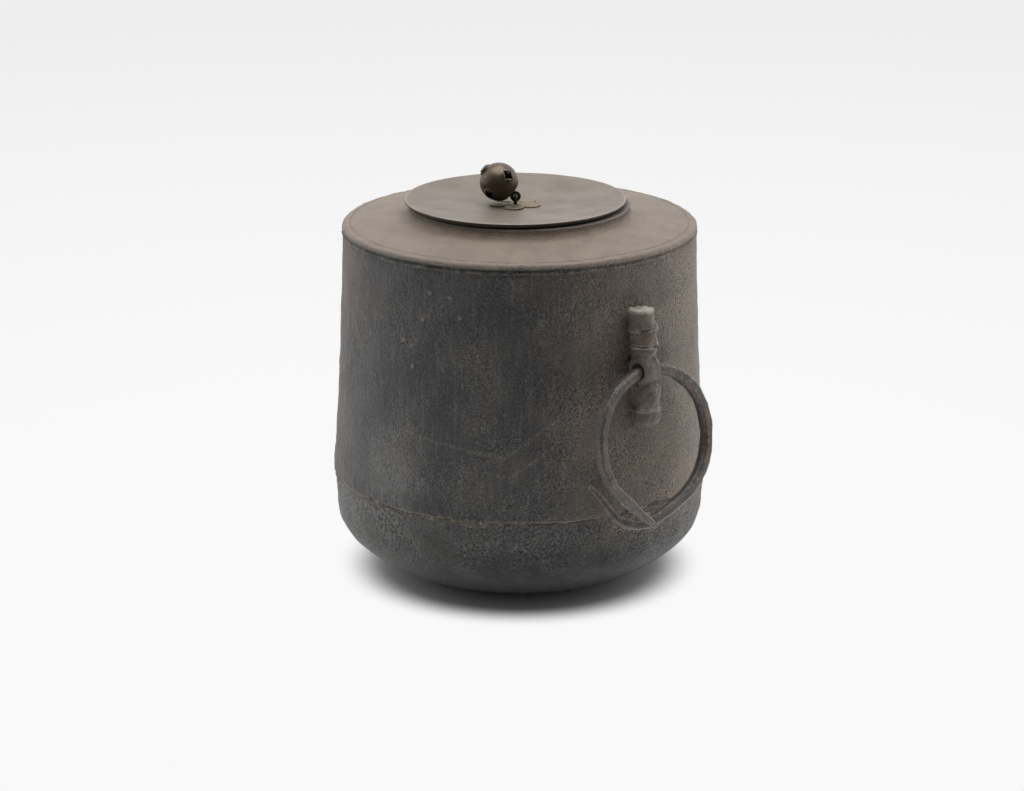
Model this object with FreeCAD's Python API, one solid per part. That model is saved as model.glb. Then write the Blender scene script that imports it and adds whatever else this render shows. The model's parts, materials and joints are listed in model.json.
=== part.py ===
import FreeCAD, Part
import math
import os
from FreeCAD import Rotation, Vector

# Tea-ceremony water kettle: a cast-iron body in two castings, two bamboo-stalk lugs with open
# iron rings, and a dished bronze lid with a lolling pierced knob.
# Millimetres and degrees. Origin on the floor under the kettle's axis, +Z up, right lug on +X.

# Fits shared by the whole kettle
CAST_FIT = 0.05
RUNNING_GAP = 0.35

# Kettle bottom: the bowl that sits in the hearth
FOOT_RADIUS = 36.7
BOWL_WALL = 4.4
KNUCKLE_RADIUS = 22.4
KNUCKLE_BREAK = 43.6
FLANK_TAPER = 3.9
SPIGOT_WALL = 3.4
SPIGOT_HEIGHT = 8.5

# Seam between the two castings, luted with lacquer and iron filings
SEAM_HEIGHT = 54.5
SEAM_OVERHANG = 0.9
PUTTY_BED = 0.9
PUTTY_FILM = 0.8
PUTTY_RECESS = 0.7

# Kettle wall: the upper casting
WALL_FOOT_RADIUS = 96.5
WALL_DRAW_IN = 6.3
WALL_BOW = 0.75
WALL = 3.8
SKIRT_ROUND = 0.6
RIDGE_HEIGHT = 179.2
RIDGE_WIDTH = 1.5
RIDGE_STAND = 0.75
GROOVE_WIDTH = 1.5
GROOVE_DEPTH = 0.5
EDGE_STAND = 0.6
EDGE_ROUND = 2.2
SHOULDER_SLOPE = 6.7
SHOULDER_DOME = 0.35
SHOULDER_WALL = 4.2
LINE_FROM_EDGE = 3.7
LINE_WIDTH = 1.0
LINE_DEPTH = 0.5
INNER_CORNER = 6.0

# Mouth
MOUTH_RADIUS = 52.5
NECK_WALL = 3.9
NECK_HEIGHT = 5.2
NECK_SPREAD = 3.4
NECK_LIP = 0.5

# Lid
LID_RADIUS = 56.5
LID_RIM = 3.0
LID_EDGE = 1.0
LID_DISH = 3.5
LID_PLATE = 2.6
LID_SEAT_WIDTH = 4.6
DISH_BOW = 0.55
LID_SHIFT = 2.1
LID_SHIFT_AZIMUTH = 230.5
BAND_PLAY = 2.5
BAND_WALL = 1.8
BAND_DEPTH = 7.0

# Knob: a hollow pierced ball on an eye that hangs in a staple
BALL_RADIUS = 9.7
BALL_WALL = 1.2
BALL_BASE_RADIUS = 5.0
BALL_BASE_WALL = 1.2
KNOB_AZIMUTH = 230.5
PIERCING_COUNT = 4
PIERCING_SIDE = 3.7
PIERCING_ARC = 4.0
CAP_RADIUS = 3.4
CAP_STEP = 1.0
CAP_TIER = 0.75
EYE_WIRE = 1.4
EYE_OPENING = 2.4
SHANK_DIAMETER = 2.0
RIVET_STAND = 0.3
STAPLE_WIRE = 1.4
STAPLE_OPENING = 2.4
STAPLE_TURN_OUT = 6.0
SEAT_THICKNESS = 1.2
PETAL_COUNT = 5
PETAL_RADIUS = 5.7
PETAL_REACH = 7.9
PETAL_AZIMUTH = -44.5
PETAL_BEVEL = 0.35
WASHER_RADIUS = 6.0
WASHER_THICKNESS = 1.0

# Lugs, cast as a length of bamboo and built into the wall
LUG_FOOT_HEIGHT = 99.6
LUG_LENGTH = 60.0
STALK_RADIUS = 6.0
STALK_STAND = 4.0
STALK_END_ROUND = 2.2
NODE_HEIGHTS = (8.6, 40.6, 49.0)
NODE_SWELL = 0.9
NODE_LENGTH = 2.6
NODE_CUT = 0.5
WEB_HALF_WIDTH = 5.2
EYE_HEIGHT = 28.4
EYE_STAND = 6.2
EYE_BORE = 9.0
EYE_RIM = 2.7
EYE_HALF_WIDTH = 6.4
EYE_CHAMFER = 1.4
TANG_WIDTH = 7.0
TANG_HEIGHT = 34.0

# Rings, forged from bar and left open so that they thread into the lugs
RING_RADIUS = 35.1
RING_BAR = 5.4
RING_BEVEL = 1.3
RING_LEAN = 10.3
RING_YAW = -3.5
FRONT_END_ANGLE = 48.0
FRONT_TIP_ANGLE = 8.0
FRONT_TIP_SPREAD = 8.0
BACK_END_ANGLE = -25.0
BACK_BENDS = ((4.2, 4.7, -3.3), (18.3, 8.0, -6.5), (41.2, 4.7, -11.5))
BACK_TIP_ANGLE = 58.9
BACK_TIP_SPREAD = 0.4
TIP_SHARE = 0.42
STEPS_PER_BEND = 3
SETTLING_STEPS = 12

# Sounding plates lacquered to the kettle's floor, which make the water sing
PLATE_COUNT = 5
PLATE_LENGTH = 17.0
PLATE_WIDTH = 9.0
PLATE_THICKNESS = 1.6
PLATE_CIRCLE = 21.0

# Sizes that follow from those above
Z_AXIS = Vector(0, 0, 1)
ORIGIN = Vector(0, 0, 0)
BOWL_RADIUS = WALL_FOOT_RADIUS - SEAM_OVERHANG
LEDGE_HEIGHT = SEAM_HEIGHT - PUTTY_BED
LAP_RADIUS = WALL_FOOT_RADIUS - WALL
SPIGOT_RADIUS = LAP_RADIUS - PUTTY_FILM
SPIGOT_TOP = SEAM_HEIGHT + SPIGOT_HEIGHT
WALL_TOP_RADIUS = WALL_FOOT_RADIUS - WALL_DRAW_IN
EDGE_RADIUS = WALL_TOP_RADIUS + EDGE_STAND
GROOVE_HEIGHT = RIDGE_HEIGHT + RIDGE_WIDTH
EDGE_HEIGHT = GROOVE_HEIGHT + GROOVE_WIDTH
NECK_RADIUS = MOUTH_RADIUS + NECK_WALL
SHOULDER_FALL = math.tan(math.radians(SHOULDER_SLOPE))
SHOULDER_EDGE_HEIGHT = EDGE_HEIGHT + EDGE_ROUND
NECK_FOOT_HEIGHT = SHOULDER_EDGE_HEIGHT + SHOULDER_FALL * (EDGE_RADIUS - EDGE_ROUND - NECK_RADIUS)
MOUTH_HEIGHT = NECK_FOOT_HEIGHT + NECK_HEIGHT
LID_CENTRE = Rotation(Z_AXIS, LID_SHIFT_AZIMUTH).multVec(Vector(LID_SHIFT, 0, 0))
LID_TOP = MOUTH_HEIGHT + LID_RIM
DISH_FLOOR = LID_TOP - LID_DISH
LID_UNDERSIDE = DISH_FLOOR - LID_PLATE
BAND_RADIUS = MOUTH_RADIUS - BAND_PLAY
SEAT_TOP = DISH_FLOOR + SEAT_THICKNESS
STAPLE_RADIUS = (STAPLE_OPENING + STAPLE_WIRE) / 2
STAPLE_SPRING = SEAT_TOP + EYE_WIRE / 2 + RUNNING_GAP
KNOB_PIVOT_HEIGHT = STAPLE_SPRING + STAPLE_RADIUS
EYE_RADIUS = (EYE_OPENING + EYE_WIRE) / 2
BALL_BASE_DEPTH = math.sqrt(BALL_RADIUS ** 2 - BALL_BASE_RADIUS ** 2)
BALL_POLE_HEIGHT = math.sqrt(BALL_RADIUS ** 2 - CAP_RADIUS ** 2)
BALL_STAND = EYE_RADIUS + EYE_WIRE / 2 + CAST_FIT + BALL_BASE_DEPTH
KNOB_LEAN = math.degrees(math.acos(
    (SEAT_TOP + RUNNING_GAP + BALL_RADIUS - KNOB_PIVOT_HEIGHT) / BALL_STAND))
STALK_MIDDLE = LUG_FOOT_HEIGHT + LUG_LENGTH / 2
BORE_HEIGHT = LUG_FOOT_HEIGHT + EYE_HEIGHT
BAR_CORNER = math.hypot(RING_BAR / 2, RING_BAR / 2 - RING_BEVEL)
BAR_SAG = RING_RADIUS - math.sqrt(RING_RADIUS ** 2 - EYE_HALF_WIDTH ** 2)
RING_DROP = EYE_BORE / 2 - BAR_CORNER - BAR_SAG - RUNNING_GAP


def along(radius, angle):
    """Point at a radius and an angle in degrees, as a pair."""
    return radius * math.cos(math.radians(angle)), radius * math.sin(math.radians(angle))


def outline(start, *steps):
    """Closed face in the XZ plane: a step is a point, a pair of points for an arc, or a flare."""
    edges = []
    here = Vector(start[0], 0, start[1])
    for step in steps + (start,):
        if step[0] == "flare":
            control, end = (Vector(x, 0, z) for x, z in step[1:])
            curve = Part.BezierCurve()
            curve.setPoles([here, control, end])
            edges.append(curve.toShape())
        elif isinstance(step[0], tuple):
            middle, end = (Vector(x, 0, z) for x, z in step)
            edges.append(Part.Arc(here, middle, end).toShape())
        else:
            end = Vector(step[0], 0, step[1])
            edges.append(Part.LineSegment(here, end).toShape())
        here = end
    return Part.Face(Part.Wire(edges))


def turned(start, *steps):
    """Solid turned about the Z axis, with its closing line on +Y, clear of the lugs."""
    face = outline(start, *steps)
    face.rotate(ORIGIN, Z_AXIS, 90)
    return face.revolve(ORIGIN, Z_AXIS, 360)


def wall_radius(height, inset=0.0):
    """Radius of the wall's outer face, which flares towards the seam, or of a face inside it."""
    foot = SEAM_HEIGHT + SKIRT_ROUND
    share = (height - foot) / (RIDGE_HEIGHT - foot)
    return WALL_FOOT_RADIUS - WALL_DRAW_IN * share - 4 * WALL_BOW * share * (1 - share) - inset


def flare(low, high, inset=0.0):
    """Step of an outline along the wall's curve from one height to another."""
    middle = (low + high) / 2
    chord = (wall_radius(low, inset) + wall_radius(high, inset)) / 2
    control = 2 * wall_radius(middle, inset) - chord
    return "flare", (control, middle), (wall_radius(high, inset), high)


def kettle_bottom():
    taper = math.radians(FLANK_TAPER)
    turn = math.radians(KNUCKLE_BREAK)
    knuckle_run = KNUCKLE_RADIUS * (math.cos(taper) - math.sin(turn))
    knuckle_rise = KNUCKLE_RADIUS * (math.cos(turn) - math.sin(taper))
    reach = BOWL_RADIUS - FOOT_RADIUS - knuckle_run - (LEDGE_HEIGHT - knuckle_rise) * math.tan(taper)
    base_radius = reach / (math.sin(turn) - (1 - math.cos(turn)) * math.tan(taper))
    base_centre = (FOOT_RADIUS, base_radius)
    knuckle_centre = (FOOT_RADIUS + (base_radius - KNUCKLE_RADIUS) * math.sin(turn),
                      base_radius - (base_radius - KNUCKLE_RADIUS) * math.cos(turn))

    def on_arc(centre, radius, slope):
        x, z = along(radius, slope - 90)
        return centre[0] + x, centre[1] + z

    def arc(centre, radius, first, last):
        return on_arc(centre, radius, (first + last) / 2), on_arc(centre, radius, last)

    upright = 90 - FLANK_TAPER
    inner_base = base_radius - BOWL_WALL
    inner_knuckle = KNUCKLE_RADIUS - BOWL_WALL
    spigot_inside = SPIGOT_RADIUS - SPIGOT_WALL
    return turned(
        (0, 0), (FOOT_RADIUS, 0),
        arc(base_centre, base_radius, 0, KNUCKLE_BREAK),
        arc(knuckle_centre, KNUCKLE_RADIUS, KNUCKLE_BREAK, upright),
        (BOWL_RADIUS, LEDGE_HEIGHT), (SPIGOT_RADIUS, LEDGE_HEIGHT),
        (SPIGOT_RADIUS, SPIGOT_TOP), (spigot_inside, SPIGOT_TOP), (spigot_inside, LEDGE_HEIGHT),
        on_arc(knuckle_centre, inner_knuckle, upright),
        arc(knuckle_centre, inner_knuckle, upright, KNUCKLE_BREAK),
        arc(base_centre, inner_base, KNUCKLE_BREAK, 0), (0, BOWL_WALL))


def seam_putty():
    inner = SPIGOT_RADIUS + CAST_FIT
    outer = BOWL_RADIUS - PUTTY_RECESS
    film = LAP_RADIUS - CAST_FIT
    return turned(
        (inner, LEDGE_HEIGHT), (outer, LEDGE_HEIGHT), (outer, SEAM_HEIGHT),
        (film, SEAM_HEIGHT), (film, SPIGOT_TOP), (inner, SPIGOT_TOP))


def wall_envelope(grow):
    """The wall's outer form as a full solid, larger by a fit all round."""
    foot = (wall_radius(SEAM_HEIGHT, -grow), SEAM_HEIGHT)
    return turned((0, SEAM_HEIGHT), foot, flare(SEAM_HEIGHT, RIDGE_HEIGHT, -grow), (0, RIDGE_HEIGHT))


def kettle_wall():
    def shoulder(radius, drop=0.0):
        run = EDGE_RADIUS - EDGE_ROUND - radius
        return radius, SHOULDER_EDGE_HEIGHT + SHOULDER_FALL * run - drop

    lap_top = SPIGOT_TOP + PUTTY_BED
    groove_floor = WALL_TOP_RADIUS - GROOVE_DEPTH
    line_outer = EDGE_RADIUS - LINE_FROM_EDGE
    line_inner = line_outer - LINE_WIDTH
    spread_foot = NECK_RADIUS + NECK_SPREAD
    spread_top = shoulder(spread_foot)[1] + NECK_SPREAD
    hollow_in, hollow_up = along(NECK_SPREAD, 45)
    dome = (line_inner + spread_foot) / 2
    edge_bulge, edge_lift = along(EDGE_ROUND, 45 - SHOULDER_SLOPE / 2)
    edge_centre = (EDGE_RADIUS - EDGE_ROUND, EDGE_HEIGHT)
    inner_top = SHOULDER_EDGE_HEIGHT - SHOULDER_WALL - INNER_CORNER
    inner_edge = wall_radius(inner_top, WALL)
    corner_run = inner_edge - INNER_CORNER
    corner_bulge, corner_lift = along(INNER_CORNER, 45)
    body = turned(
        (LAP_RADIUS, SEAM_HEIGHT), (WALL_FOOT_RADIUS - SKIRT_ROUND, SEAM_HEIGHT),
        (WALL_FOOT_RADIUS, SEAM_HEIGHT + SKIRT_ROUND),
        flare(SEAM_HEIGHT + SKIRT_ROUND, RIDGE_HEIGHT),
        ((WALL_TOP_RADIUS + RIDGE_STAND, RIDGE_HEIGHT + RIDGE_WIDTH / 2), (WALL_TOP_RADIUS, GROOVE_HEIGHT)),
        ((groove_floor, GROOVE_HEIGHT + GROOVE_WIDTH / 2), (EDGE_RADIUS, EDGE_HEIGHT)),
        ((edge_centre[0] + edge_bulge, edge_centre[1] + edge_lift), shoulder(edge_centre[0])),
        shoulder(line_outer), shoulder(line_outer - LINE_WIDTH / 2, LINE_DEPTH), shoulder(line_inner),
        (shoulder(dome, -SHOULDER_DOME), shoulder(spread_foot)),
        ((spread_foot - hollow_in, spread_top - hollow_up), (NECK_RADIUS, spread_top)),
        (NECK_RADIUS, MOUTH_HEIGHT - NECK_LIP), (NECK_RADIUS - NECK_LIP, MOUTH_HEIGHT),
        (MOUTH_RADIUS, MOUTH_HEIGHT), shoulder(MOUTH_RADIUS, SHOULDER_WALL),
        shoulder(corner_run, SHOULDER_WALL),
        ((corner_run + corner_bulge, inner_top + corner_lift), (inner_edge, inner_top)),
        flare(inner_top, lap_top, WALL),
        (LAP_RADIUS, SPIGOT_TOP))
    pocket = tang(CAST_FIT)
    return body.cut(pocket).cut(opposite(pocket))


def tang(grow):
    """Block behind the lug's stalk that passes through the wall."""
    inside = wall_radius(STALK_MIDDLE) - 2 * WALL
    block = Part.makeBox(4 * WALL, TANG_WIDTH + 2 * grow, TANG_HEIGHT + 2 * grow)
    block.translate(Vector(inside, -TANG_WIDTH / 2 - grow, STALK_MIDDLE - TANG_HEIGHT / 2 - grow))
    return block


def opposite(shape):
    """The same piece on the other side of the kettle, half a turn about its axis."""
    copy = shape.copy()
    copy.rotate(ORIGIN, Z_AXIS, 180)
    return copy


def bore_centre():
    return Vector(wall_radius(BORE_HEIGHT) + EYE_STAND, 0, BORE_HEIGHT)


def bore_axis():
    return Rotation(Z_AXIS, -RING_YAW).multVec(Vector(0, 1, 0))


def lug():
    foot = Vector(wall_radius(LUG_FOOT_HEIGHT) + STALK_STAND, 0, LUG_FOOT_HEIGHT)
    top_height = LUG_FOOT_HEIGHT + LUG_LENGTH
    top = Vector(wall_radius(top_height) + STALK_STAND, 0, top_height)
    profile = [(STALK_RADIUS - STALK_END_ROUND, 0), (STALK_RADIUS, STALK_END_ROUND)]
    for height in NODE_HEIGHTS:
        profile += [
            (STALK_RADIUS, height - NODE_LENGTH / 2),
            (STALK_RADIUS + NODE_SWELL, height - NODE_CUT),
            (STALK_RADIUS - NODE_CUT, height),
            (STALK_RADIUS + NODE_SWELL / 2, height + NODE_CUT),
            (STALK_RADIUS, height + NODE_LENGTH / 2)]
    profile += [(STALK_RADIUS, LUG_LENGTH - NODE_CUT), (STALK_RADIUS - NODE_CUT, LUG_LENGTH), (0, LUG_LENGTH)]
    stalk = turned((0, 0), *profile)
    web_length = LUG_LENGTH - STALK_END_ROUND - NODE_CUT
    web = Part.makeBox(STALK_STAND + WALL, 2 * WEB_HALF_WIDTH, web_length)
    web.translate(Vector(-STALK_STAND - WALL, -WEB_HALF_WIDTH, STALK_END_ROUND))
    body = stalk.fuse(web)
    body.Placement = FreeCAD.Placement(foot, Rotation(Z_AXIS, top - foot))
    eye = along_bore(
        (0, -EYE_HALF_WIDTH), (EYE_BORE / 2 + EYE_RIM - EYE_CHAMFER, -EYE_HALF_WIDTH),
        (EYE_BORE / 2 + EYE_RIM, EYE_CHAMFER - EYE_HALF_WIDTH),
        (EYE_BORE / 2 + EYE_RIM, EYE_HALF_WIDTH - EYE_CHAMFER),
        (EYE_BORE / 2 + EYE_RIM - EYE_CHAMFER, EYE_HALF_WIDTH), (0, EYE_HALF_WIDTH))
    against = wall_envelope(CAST_FIT)
    body = body.cut(against).fuse(eye.cut(against))
    through = tang(0).common(against).cut(wall_envelope(-WALL))
    bore_reach = 2 * EYE_HALF_WIDTH
    bore = along_bore((0, -bore_reach), (EYE_BORE / 2, -bore_reach),
                      (EYE_BORE / 2, bore_reach), (0, bore_reach))
    return body.fuse(through).cut(bore).removeSplitter()


def along_bore(start, *steps):
    """Solid turned about the axis of the lug's bore."""
    solid = turned(start, *steps)
    solid.Placement = FreeCAD.Placement(bore_centre(), Rotation(Z_AXIS, bore_axis()))
    return solid


def ring_placement():
    """Where the ring hangs: its bar in the lug's bore, leaning out from the wall."""
    hang = bore_centre() - Vector(0, 0, RING_DROP)
    turn = Rotation(Z_AXIS, -RING_YAW).multiply(Rotation(Vector(0, 1, 0), -RING_LEAN))
    return FreeCAD.Placement(hang, turn)


def ring_point(angle, spread=0.0, set_back=0.0):
    """Point of the ring, by its angle from the lowest point and its distance from the circle."""
    drop, across = along(RING_RADIUS + spread, angle)
    return Vector(set_back, -across, -RING_RADIUS - drop)


def back_tip():
    """Tip of the ring's back end, set back until it all but rests on the wall."""
    reach = RING_BAR / 2 * TIP_SHARE + RUNNING_GAP
    placement = ring_placement()
    set_back = 0.0
    for _ in range(SETTLING_STEPS):
        tip = placement.multVec(ring_point(BACK_TIP_ANGLE, BACK_TIP_SPREAD, set_back))
        set_back -= math.hypot(tip.x, tip.y) - wall_radius(tip.z) - reach
    return ring_point(BACK_TIP_ANGLE, BACK_TIP_SPREAD, set_back)


def bar_section(middle, across, radial, share=1.0):
    """Bevelled square of the forged bar, as a closed wire."""
    half = RING_BAR / 2 * share
    flat = half - RING_BEVEL * share
    corners = ((half, -flat), (half, flat), (flat, half), (-flat, half),
               (-half, flat), (-half, -flat), (-flat, -half), (flat, -half))
    points = [middle + across * x + radial * y for x, y in corners]
    return Part.makePolygon(points + points[:1])


def forged_end(angle, heading, *bends):
    """Tapered end of the bar: leaves the circle at an angle and bends through each point in turn."""
    here = ring_point(angle)
    tangent = Vector(0, -math.cos(math.radians(angle)), math.sin(math.radians(angle))) * heading
    across = Vector(1, 0, 0)
    sections = [bar_section(here, across, tangent.cross(across))]
    count = len(bends) * STEPS_PER_BEND
    for target in bends:
        chord = target - here
        half_turn = tangent.getAngle(chord)
        radius = chord.Length / (2 * math.sin(half_turn))
        inward = tangent.cross(chord).cross(tangent).normalize()
        axis = tangent.cross(inward)
        for step in range(1, STEPS_PER_BEND + 1):
            turn = 2 * half_turn * step / STEPS_PER_BEND
            spin = Rotation(axis, math.degrees(turn))
            middle = here + tangent * radius * math.sin(turn) + inward * radius * (1 - math.cos(turn))
            share = 1 - (1 - TIP_SHARE) * (len(sections) / count) ** 2
            side = spin.multVec(across)
            sections.append(bar_section(middle, side, spin.multVec(tangent).cross(side), share))
        across = spin.multVec(across)
        tangent = spin.multVec(tangent)
        here = target
    return Part.makeLoft(sections, True, True)


def ring():
    centre = Vector(0, 0, -RING_RADIUS)
    start = ring_point(BACK_END_ANGLE)
    section = Part.Face(bar_section(start, Vector(1, 0, 0), (start - centre).normalize()))
    sweep = 360 - FRONT_END_ANGLE + BACK_END_ANGLE
    hoop = section.revolve(centre, Vector(1, 0, 0), sweep)
    front = forged_end(FRONT_END_ANGLE, -1, ring_point(FRONT_TIP_ANGLE, FRONT_TIP_SPREAD))
    bends = [ring_point(*bend) for bend in BACK_BENDS]
    back = forged_end(BACK_END_ANGLE, 1, *bends, back_tip())
    whole = hoop.fuse([front, back]).removeSplitter()
    whole.Placement = ring_placement()
    return whole


def on_lid(shape):
    """Moves a piece modelled on the Z axis to the lid's centre."""
    shape.translate(LID_CENTRE)
    return shape


def lid_plate():
    flat = PETAL_REACH + PETAL_RADIUS + PETAL_BEVEL
    lip = LID_RADIUS - LID_EDGE
    lip_round = LID_EDGE / 2
    band_inside = BAND_RADIUS - BAND_WALL
    under_flat = STAPLE_RADIUS + STAPLE_TURN_OUT + WASHER_RADIUS
    dish_middle = ((lip + flat) / 2, (LID_TOP + DISH_FLOOR) / 2 - DISH_BOW)
    under_middle = ((band_inside + under_flat) / 2, (MOUTH_HEIGHT + LID_UNDERSIDE) / 2 - DISH_BOW)
    plate = turned(
        (0, LID_UNDERSIDE), (under_flat, LID_UNDERSIDE),
        (under_middle, (band_inside, MOUTH_HEIGHT)),
        (BAND_RADIUS + LID_SEAT_WIDTH, MOUTH_HEIGHT), (LID_RADIUS, LID_TOP - LID_EDGE),
        (LID_RADIUS, LID_TOP - lip_round), (LID_RADIUS - lip_round, LID_TOP), (lip, LID_TOP),
        (dish_middle, (flat, DISH_FLOOR)), (0, DISH_FLOOR))
    return on_lid(plate.cut(on_knob(staple_legs(CAST_FIT))))


def lid_band():
    inside = BAND_RADIUS - BAND_WALL
    foot = MOUTH_HEIGHT - BAND_DEPTH
    band = turned((inside, foot), (BAND_RADIUS, foot), (BAND_RADIUS, MOUTH_HEIGHT), (inside, MOUTH_HEIGHT))
    return on_lid(band)


def on_knob(shape):
    """Turns a piece modelled with its lean along X to the knob's own direction."""
    shape.rotate(ORIGIN, Z_AXIS, KNOB_AZIMUTH)
    return shape


def staple_legs(grow):
    """The staple's two straight legs, through the seat, the lid and the washer."""
    foot = LID_UNDERSIDE - WASHER_THICKNESS - CAST_FIT - STAPLE_WIRE / 2
    radius = STAPLE_WIRE / 2 + grow
    legs = [Part.makeCylinder(radius, STAPLE_SPRING - foot, Vector(0, side * STAPLE_RADIUS, foot))
            for side in (-1, 1)]
    return legs[0].fuse(legs[1])


def knob_staple():
    radius = STAPLE_WIRE / 2
    spring = Vector(0, 0, STAPLE_SPRING)
    foot = LID_UNDERSIDE - WASHER_THICKNESS - CAST_FIT - radius
    arch = Part.makeTorus(STAPLE_RADIUS, radius, spring, Vector(1, 0, 0))
    room = 4 * STAPLE_RADIUS
    arch = arch.common(Part.makeBox(room, room, room, spring - Vector(room / 2, room / 2, 0)))
    staple = arch.fuse(staple_legs(0))
    for side in (-1, 1):
        corner = Vector(0, side * STAPLE_RADIUS, foot)
        turn_out = Part.makeCylinder(radius, STAPLE_TURN_OUT, corner, Vector(0, side, 0))
        staple = staple.fuse([Part.makeSphere(radius, corner), turn_out])
    return on_lid(on_knob(staple.removeSplitter()))


def knob_seat():
    """Plum-blossom washer of round petals."""
    flower = Part.makeCylinder(PETAL_REACH, SEAT_THICKNESS, Vector(0, 0, DISH_FLOOR))
    rim = SEAT_TOP - PETAL_BEVEL
    for count in range(PETAL_COUNT):
        x, y = along(PETAL_REACH, PETAL_AZIMUTH + count * 360 / PETAL_COUNT)
        petal = turned((0, DISH_FLOOR), (PETAL_RADIUS, DISH_FLOOR), (PETAL_RADIUS, rim),
                       (PETAL_RADIUS - PETAL_BEVEL, SEAT_TOP), (0, SEAT_TOP))
        petal.translate(Vector(x, y, 0))
        flower = flower.fuse(petal)
    flower = flower.removeSplitter()
    return on_lid(flower.cut(on_knob(staple_legs(CAST_FIT))))


def staple_washer():
    foot = Vector(0, 0, LID_UNDERSIDE - WASHER_THICKNESS)
    washer = Part.makeCylinder(WASHER_RADIUS, WASHER_THICKNESS, foot)
    return on_lid(washer.cut(on_knob(staple_legs(CAST_FIT))))


def lolling(shape):
    """Moves a piece modelled above its pivot to the knob, leaning until the ball nears its seat."""
    shape.rotate(ORIGIN, Vector(0, 1, 0), KNOB_LEAN)
    shape.translate(Vector(0, 0, KNOB_PIVOT_HEIGHT))
    return on_lid(on_knob(shape))


def piercing():
    """Hole with four hollow sides, between the round petals of the openwork."""
    reach = PIERCING_SIDE / math.sqrt(2)
    sag = PIERCING_ARC - math.sqrt(PIERCING_ARC ** 2 - (PIERCING_SIDE / 2) ** 2)
    corners = [Vector(0, *along(reach, 90 * count)) for count in range(5)]
    waists = [Vector(0, *along(PIERCING_SIDE / 2 - sag, 45 + 90 * count)) for count in range(4)]
    edges = [Part.Arc(corners[k], waists[k], corners[k + 1]).toShape() for k in range(4)]
    hole = Part.Face(Part.Wire(edges)).extrude(Vector(BALL_RADIUS, 0, 0))
    hole.translate(Vector(BALL_RADIUS / 2, 0, BALL_STAND))
    return hole


def knob_ball():
    centre = Vector(0, 0, BALL_STAND)
    width = 2 * BALL_RADIUS
    slab = Part.makeBox(width, width, BALL_BASE_DEPTH + BALL_POLE_HEIGHT,
                        centre - Vector(BALL_RADIUS, BALL_RADIUS, BALL_BASE_DEPTH))
    hollow_foot = BALL_BASE_DEPTH - BALL_BASE_WALL
    hollow_top = BALL_POLE_HEIGHT - BALL_WALL
    hollow_slab = Part.makeBox(width, width, hollow_foot + hollow_top,
                               centre - Vector(BALL_RADIUS, BALL_RADIUS, hollow_foot))
    hollow = Part.makeSphere(BALL_RADIUS - BALL_WALL, centre).common(hollow_slab)
    ball = Part.makeSphere(BALL_RADIUS, centre).common(slab).cut(hollow)
    ball = ball.cut(Part.makeCylinder(SHANK_DIAMETER / 2 + CAST_FIT, 2 * width))
    for count in range(PIERCING_COUNT):
        hole = piercing()
        hole.rotate(ORIGIN, Z_AXIS, (count + 0.5) * 360 / PIERCING_COUNT)
        ball = ball.cut(hole)
    return lolling(ball)


def knob_cap():
    foot = BALL_STAND + BALL_POLE_HEIGHT
    hole = SHANK_DIAMETER / 2 + CAST_FIT
    inner = CAP_RADIUS - CAP_STEP
    return lolling(turned(
        (hole, foot), (CAP_RADIUS, foot), (CAP_RADIUS, foot + CAP_TIER), (inner, foot + CAP_TIER),
        (inner, foot + 2 * CAP_TIER), (hole, foot + 2 * CAP_TIER)))


def knob_eye_pin():
    top = BALL_STAND + BALL_POLE_HEIGHT + 2 * CAP_TIER + RIVET_STAND
    eye = Part.makeTorus(EYE_RADIUS, EYE_WIRE / 2, ORIGIN, Vector(0, 1, 0))
    shank = Part.makeCylinder(SHANK_DIAMETER / 2, top - EYE_RADIUS, Vector(0, 0, EYE_RADIUS))
    return lolling(eye.fuse(shank).removeSplitter())


def sounding_plates():
    plates = []
    for count in range(PLATE_COUNT):
        plate = Part.makeBox(PLATE_WIDTH, PLATE_LENGTH, PLATE_THICKNESS)
        plate.translate(Vector(PLATE_CIRCLE - PLATE_WIDTH / 2, -PLATE_LENGTH / 2, BOWL_WALL))
        plate.rotate(ORIGIN, Z_AXIS, count * 360 / PLATE_COUNT)
        plates.append(plate)
    return Part.makeCompound(plates)


def main():
    right_lug = lug()
    right_ring = ring()
    pieces = {
        "kettle_bottom": kettle_bottom(),
        "seam_putty": seam_putty(),
        "kettle_wall": kettle_wall(),
        "sounding_plates": sounding_plates(),
        "lug_right": right_lug,
        "lug_left": opposite(right_lug),
        "ring_right": right_ring,
        "ring_left": opposite(right_ring),
        "lid_plate": lid_plate(),
        "lid_band": lid_band(),
        "knob_seat": knob_seat(),
        "knob_staple": knob_staple(),
        "staple_washer": staple_washer(),
        "knob_eye_pin": knob_eye_pin(),
        "knob_ball": knob_ball(),
        "knob_cap": knob_cap(),
    }
    os.makedirs("parts", exist_ok=True)
    for name, shape in pieces.items():
        shape.exportStep("parts/" + name + ".step")
        print(name, shape.isValid(), len(shape.Solids), round(shape.Volume, 1))
    print("knob lean", round(KNOB_LEAN, 2), "pivot height", round(KNOB_PIVOT_HEIGHT, 3))


main()
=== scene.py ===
import json
import math

import bpy
from bpy.props import FloatProperty, FloatVectorProperty, IntProperty, PointerProperty
from mathutils import Matrix, Vector


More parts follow.
